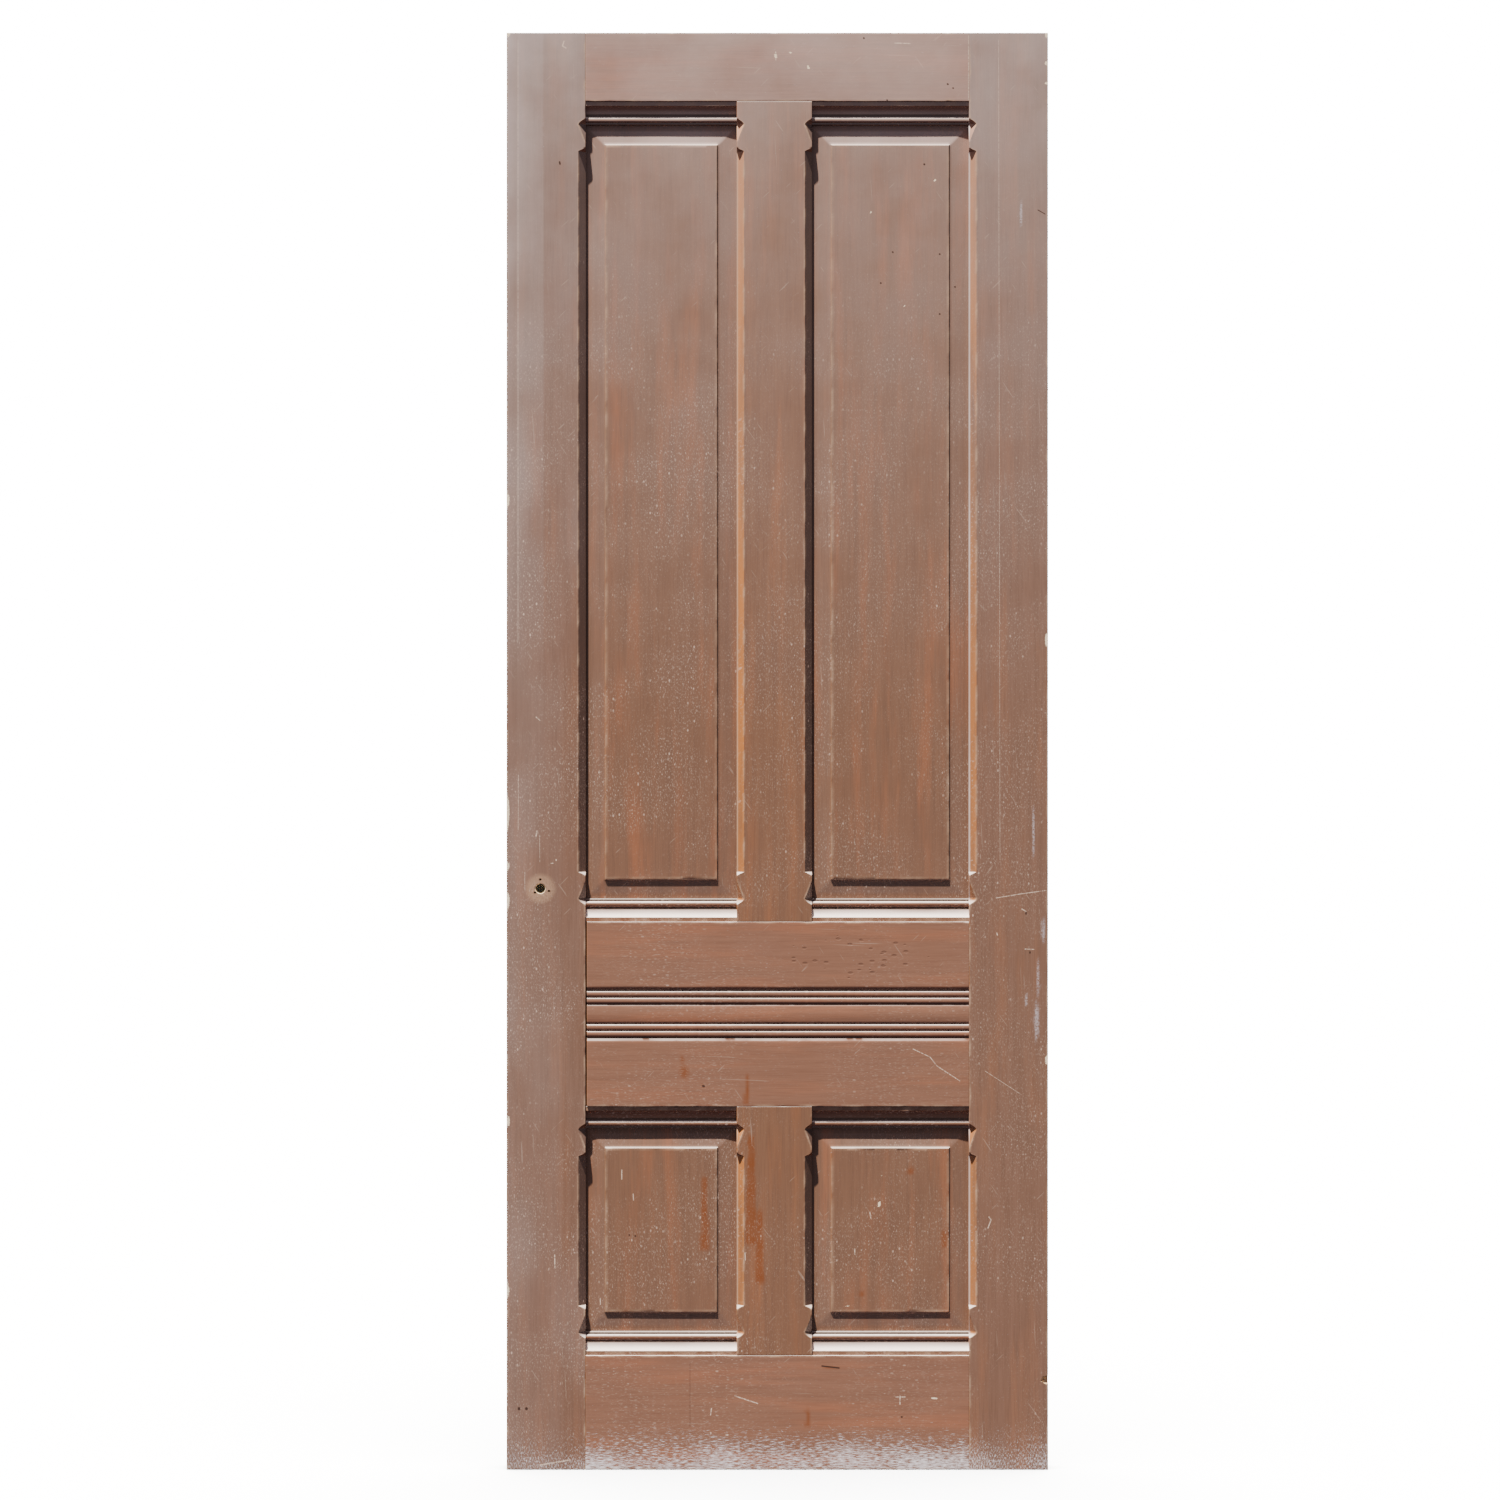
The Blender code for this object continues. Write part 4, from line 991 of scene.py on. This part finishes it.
# Scratches and gouges in pixels of the photograph: from column, row, to column, row, and width
STILE_PALE = ((554.7, 1255, 554.9, 1268, 1.0), (564, 41, 562.5, 46, 1.0), (562.5, 46, 566, 48, 1.0),
              (996, 898, 1020, 894, 0.7), (1020, 894, 1046, 890.5, 0.7),
              (989, 1217, 991, 1220, 1.0), (991, 1220, 988, 1228, 1.0),
              (985, 1071, 1022, 1095, 0.35), (518, 40, 518, 640, 0.35), (998.6, 40, 1000, 860, 0.25),
              (518.4, 775, 518.2, 830, 0.4), (536, 836, 537, 831, 1.3), (539.5, 835, 539.8, 862, 0.3),
              (524.7, 872, 524.9, 890, 0.35), (556, 859.5, 556.2, 860.4, 1.1), (551, 863.4, 553, 863.2, 0.9),
              (1022, 909, 1026, 911.5, 1.0), (1025, 949, 1034, 949.4, 0.8), (997, 933, 997.4, 935, 1.2),
              (536, 717, 540, 720.5, 0.9), (540, 1465, 570, 1460, 1.3))
STILE_DARK = ((519, 1408.6, 519, 1408.8, 3.2), (526.5, 1408.6, 526.5, 1408.8, 3.2),
              (1026, 912, 1026, 914, 1.6), (1030, 952, 1030, 953, 1.6), (559.6, 162, 560, 164, 1.8),
              (1038, 210, 1045, 214, 1.0))
RAIL_PALE = ((585.2, 35, 585.2, 100, 0.9), (968.6, 35, 968.6, 100, 0.7), (895, 43, 910, 43.5, 1.0),
             (775.7, 52, 775.9, 60, 1.0), (913, 1049, 930, 1057, 0.7), (930, 1057, 937, 1066, 0.8),
             (937, 1066, 960, 1081, 0.8),
             (735, 1396, 757.6, 1403.5, 1.1), (900, 1396, 900, 1404.5, 1.0),
             (896, 1397, 905, 1397, 1.0), (711.5, 1408.5, 710.5, 1415, 1.0),
             (710.6, 1432.6, 710.7, 1433.4, 1.4), (726, 1435, 728, 1435, 1.2))
RAIL_DARK = ((822, 1366, 839, 1368, 1.6), (863.8, 38, 864, 38.3, 1.8), (947.5, 84, 948, 84.3, 1.8),
             (953, 88, 953.3, 88.2, 1.6), (887, 100, 887.3, 100.2, 1.6), (703, 1086, 704, 1086.3, 2.2),
             (690, 1362, 690, 1427, 0.35), (901.5, 1417, 902, 1417, 1.8))
MUNTIN_PALE = ((745, 1253, 745.3, 1260, 1.0),)
PANEL_PALE = ((621.5, 1171, 621.5, 1180, 1.0), (633, 1195, 633.2, 1201, 0.9),
              (599.8, 1300, 600, 1306, 0.9), (870, 1213, 871, 1219, 1.0), (855, 1250, 855, 1254, 1.0))
PANEL_DARK = ((924.6, 163, 924.8, 163.2, 2.0), (893, 251, 893.2, 251.2, 1.8),
              (881, 282, 881.2, 282.2, 1.8), (940, 253, 940.2, 253.2, 1.8),
              (955.5, 285.5, 955.7, 285.7, 1.8), (940, 313, 940.2, 313.2, 1.8),
              (635, 1237, 635.2, 1237.2, 1.8), (629, 1236, 629.2, 1236.2, 1.6))

# For each slot: its grain; the wood under its varnish, its dark streaks, its warm streaks and the
# colour of the bloom and painted sheen; dust with painted highlight and the slope where it starts;
# the painted glow of sides to the light and the painted shade of the others; its strokes; and where its
# pattern starts
FINISHES = (
    ("stiles", "upright", ("755646", "5f4536", "8a5b40", "c9bbb9"), 0.6, 0.3, (0.6, 0.45),
     STILE_PALE, STILE_DARK, 0.0),
    ("rails", "level", ("815b48", "6a4939", "985f43", "cab6b1"), 0.95, 0.42, (0.6, 0.6),
     RAIL_PALE, RAIL_DARK, 1.3),
    ("muntins", "upright", ("75533e", "5e4233", "925b39", "cab6b1"), 0.6, 0.3, (0.8, 0.65),
     MUNTIN_PALE, (), 2.6),
    ("panels", "upright", ("735340", "5d4334", "92593a", "ceb7b1"), 0.3, 0.3, (0.12, 0.9),
     PANEL_PALE, PANEL_DARK, 3.9),
    ("mouldings", "level", ("7d5843", "6b4936", "93593c", "e9d6ce"), 0.95, 0.06, (0.6, 0.6),
     (), (), 5.2))
finishes = {slot: varnished_wood("shellac_varnished_fir_of_the_" + slot, *settings)
            for slot, *settings in FINISHES}
break_wood = raw_wood("freshly_broken_fir", "a07a55", "d8b88e")
hole_wood = raw_wood("old_unfinished_fir", "54402f", "7a6046")
bore_wood = raw_wood("rubbed_fir_of_the_bores", "c4a67e", "ecd6ae")
# Painted light: the latch mortise's inside is a pale grey-green, paler than old fir, so that the spindle
# hole's depth reads pale though little light reaches it
mortise_wood = raw_wood("fir_of_the_latch_mortise_painted_pale_grey_green", "a9a88e", "c4c2aa")


def ball_mesh(centre, reach, seed, rings=24, around=28):
    """Rough closed ball: rings by latitude, its radius rippled by sines of both angles."""
    latitude = np.linspace(0.02, np.pi - 0.02, rings)[:, None]
    longitude = np.linspace(0, 2 * np.pi, around, endpoint=False)[None, :]
    draw = np.random.default_rng(seed)
    radius = np.ones((rings, around))
    for _ in range(6):
        waves, turns = draw.integers(2, 9), draw.integers(2, 7)
        radius += 0.05 * np.sin(waves * latitude * 2 + draw.uniform(0, 6)) * np.sin(
            turns * longitude + draw.uniform(0, 6))
    x = centre[0] + reach[0] * radius * np.sin(latitude) * np.cos(longitude)
    y = centre[1] + reach[1] * radius * np.sin(latitude) * np.sin(longitude)
    z = centre[2] + reach[2] * radius * np.cos(latitude)
    return tube_mesh("ball", np.stack([x, y, z], axis=-1))


def hole_mesh(x, z, diameter, depth, mouth, around=40):
    """Round hole along Y with a worn mouth: rings of falling radius from the face inwards."""
    angle = np.linspace(0, 2 * np.pi, around, endpoint=False)
    radius = diameter / 2
    profile = ((-OVERSHOOT, radius + mouth), (-0.1 * MM, radius + mouth),
               (mouth * 0.35, radius + mouth * 0.45),
               (mouth, radius + mouth * 0.12), (mouth * 2, radius), (depth, radius))
    rings = [np.stack([x + size * np.cos(angle), np.full(around, FRONT + deep),
                       z + size * np.sin(angle)], axis=1) for deep, size in profile]
    return tube_mesh("hole", np.stack(rings))


def lock_cutters():
    """Spindle hole, screw holes, latch mortise and faceplate recess of the lock stile."""
    made = [cutter_object("spindle", hole_mesh(KNOB_X, KNOB_Z, SPINDLE_HOLE, THICKNESS / 2, 1.2 * MM),
                          bore_wood)]
    for number, (right, up) in enumerate(ROSE_SCREWS):
        made.append(cutter_object(f"screw_{number}", hole_mesh(
            KNOB_X + right, KNOB_Z + up, ROSE_SCREW_HOLE, ROSE_SCREW_DEPTH, 0.6 * MM, 16), hole_wood))
    for name, (deep, thick, high), wood in (("latch", LATCH_SIZE, mortise_wood),
                                            ("faceplate", FACEPLATE_SIZE, hole_wood)):
        made.append(cutter_object(name, block_mesh([(
            (LOCK_EDGE - OVERSHOOT, LOCK_EDGE + deep), (-thick / 2, thick / 2),
            (KNOB_Z - high / 2, KNOB_Z + high / 2))]), wood))
    return made


def hinge_cutters():
    """Three hinge gains, open to the back, and the chip at the face's arris."""
    gains = [((HINGE_EDGE - GAIN_SIZE[0], HINGE_EDGE + OVERSHOOT),
              (BACK - GAIN_SIZE[1], BACK + OVERSHOOT),
              (z - GAIN_SIZE[2] / 2, z + GAIN_SIZE[2] / 2)) for z in (-HINGE_SPACING, 0.0, HINGE_SPACING)]
    chip = ball_mesh((HINGE_EDGE, FRONT, FOOT + CHIP_HEIGHT), CHIP_REACH, 5)
    return [cutter_object("gains", block_mesh(gains), hole_wood), cutter_object("chip", chip, break_wood)]


OPENINGS = (("upper_lock_side", (LOCK_INNER, MUNTIN_LEFT), UPPER),
            ("upper_hinge_side", (MUNTIN_RIGHT, HINGE_INNER), UPPER),
            ("lower_lock_side", (LOCK_INNER, MUNTIN_LEFT), LOWER),
            ("lower_hinge_side", (MUNTIN_RIGHT, HINGE_INNER), LOWER))

make_upright("lock_stile", (LOCK_EDGE, LOCK_INNER), (FOOT, HEAD), ((), (UPPER, LOWER)),
             "stiles", 11, lock_cutters())
make_upright("hinge_stile", (HINGE_INNER, HINGE_EDGE), (FOOT, HEAD), ((UPPER, LOWER), ()),
             "stiles", 21, hinge_cutters())
for name, span, seed in (("upper_muntin", UPPER, 31), ("lower_muntin", LOWER, 41)):
    make_upright(name, (MUNTIN_LEFT, MUNTIN_RIGHT), (span[0] + JOINT_GAP, span[1] - JOINT_GAP),
                 ((span,), (span,)), "muntins", seed)
make_rail("top_rail", (TOP_RAIL_BOTTOM, HEAD), (False, True), 51)
tongue_block = cutter_object("tongue", block_mesh([(
    (LOCK_INNER + JOINT_GAP, LOCK_INNER + OPENED_JOINT + OVERSHOOT),
    (-TONGUE_HALF_THICKNESS, TONGUE_HALF_THICKNESS),
    (LOCK_RAIL_BOTTOM + TONGUE_REACH + CLEARANCE, LOCK_RAIL_TOP - TONGUE_REACH - CLEARANCE))]), hole_wood)
make_rail("lock_rail", (LOCK_RAIL_BOTTOM, LOCK_RAIL_TOP), (True, True), 61, True, OPENED_JOINT,
          tongue_block)
make_rail("bottom_rail", (FOOT, BOTTOM_RAIL_TOP), (True, False), 71)
front_section = moulding_section()
back_section = back_moulding_section()
for number, (place, x_span, z_span) in enumerate(OPENINGS):
    make_panel("panel_" + place, x_span, z_span, 81 + number)
    for end, edge, away in (("bottom", z_span[0], 1), ("top", z_span[1], -1)):
        seed = 91 + 4 * number + away
        make_moulding(f"moulding_{place}_{end}", x_span, edge, away, front_section, False, seed)
        make_moulding(f"back_moulding_{place}_{end}", x_span, edge, away, back_section, True,
                      seed + 40)

# The photographer's view: square on, from about six metres
DISTANCE = 6.0
FRAME_PIXELS = 1500
camera_data = bpy.data.cameras.new("camera")
camera_data.lens = camera_data.sensor_width * DISTANCE / (FRAME_PIXELS * PIXEL)
camera = placed("camera", camera_data)
view_x, view_z = at_pixel(FRAME_PIXELS / 2, FRAME_PIXELS / 2)
camera.location = (view_x, FRONT - DISTANCE, view_z)
camera.rotation_euler = (math.pi / 2, 0, 0)
bpy.context.scene.camera = camera

# Floor: pale paper, a wide disc
FLOOR_RADIUS = 45
FLOOR_POINTS = 96
angle = np.linspace(0, 2 * np.pi, FLOOR_POINTS, endpoint=False)
ring = np.stack([LEAF_MIDDLE + FLOOR_RADIUS * np.cos(angle), FLOOR_RADIUS * np.sin(angle),
                 np.full(FLOOR_POINTS, FOOT - 0.4 * MM)], axis=1)
floor_mesh = bpy.data.meshes.new("floor")
floor_mesh.from_pydata(ring.tolist(), [], [list(range(FLOOR_POINTS))])
floor_material, floor_shader, _ = new_material("pale_studio_paper")
floor_shader.inputs["Base Color"].default_value = linear("f2f1ef")
floor_shader.inputs["Roughness"].default_value = 0.95
floor_shader.inputs["Specular IOR Level"].default_value = 0.0
floor_mesh.materials.append(floor_material)
floor = placed("floor", floor_mesh)
floor.visible_diffuse = False
floor.visible_glossy = False
unlit = bpy.data.collections.new("lit_by_the_soft_light")
unlit.objects.link(floor)


def sunlight(name, energy, spread, direction, colour, receivers):
    """Sun that shines along a direction, on the pieces of one collection alone."""
    data = bpy.data.lights.new(name, "SUN")
    data.energy = energy
    data.angle = math.radians(spread)
    data.color = colour
    lamp = placed(name, data)
    lamp.rotation_euler = Vector(direction).to_track_quat("-Z", "Y").to_euler()
    lamp.light_linking.receiver_collection = receivers


# Key light: low over the face from the upper left, so that the arrises and shadows read
sunlight("key", 14.8, 1.3, (0.1975, 0.309, -0.931), (1.0, 0.95, 0.88), lit)
# Softer light from behind and above, so that the plain back reads; the leaf keeps it off the face
sunlight("behind", 4.5, 25, (-0.3, -0.75, -0.6), (1.0, 1.0, 1.0), lit)
# Soft light from above for the floor alone
sunlight("soft", 58.0, 60, (0, 0, -1), (1.0, 1.0, 1.0), unlit)

# World: a white room, dimmer as light than it looks, so that the key light's shadows stay dark
world = bpy.data.worlds.new("white_room")
world.use_nodes = True
bpy.context.scene.world = world
air = world.node_tree
background = air.nodes["Background"]
seen = add(air, "LightPath")["Is Camera Ray"]
as_light, as_seen = (0.25, 0.235, 0.28, 1), (16.5, 16.5, 16.5, 1)
air.links.new(add(air, "MixRGB", {0: seen, 1: as_light, 2: as_seen})[0], background.inputs["Color"])
background.inputs["Strength"].default_value = 1.0
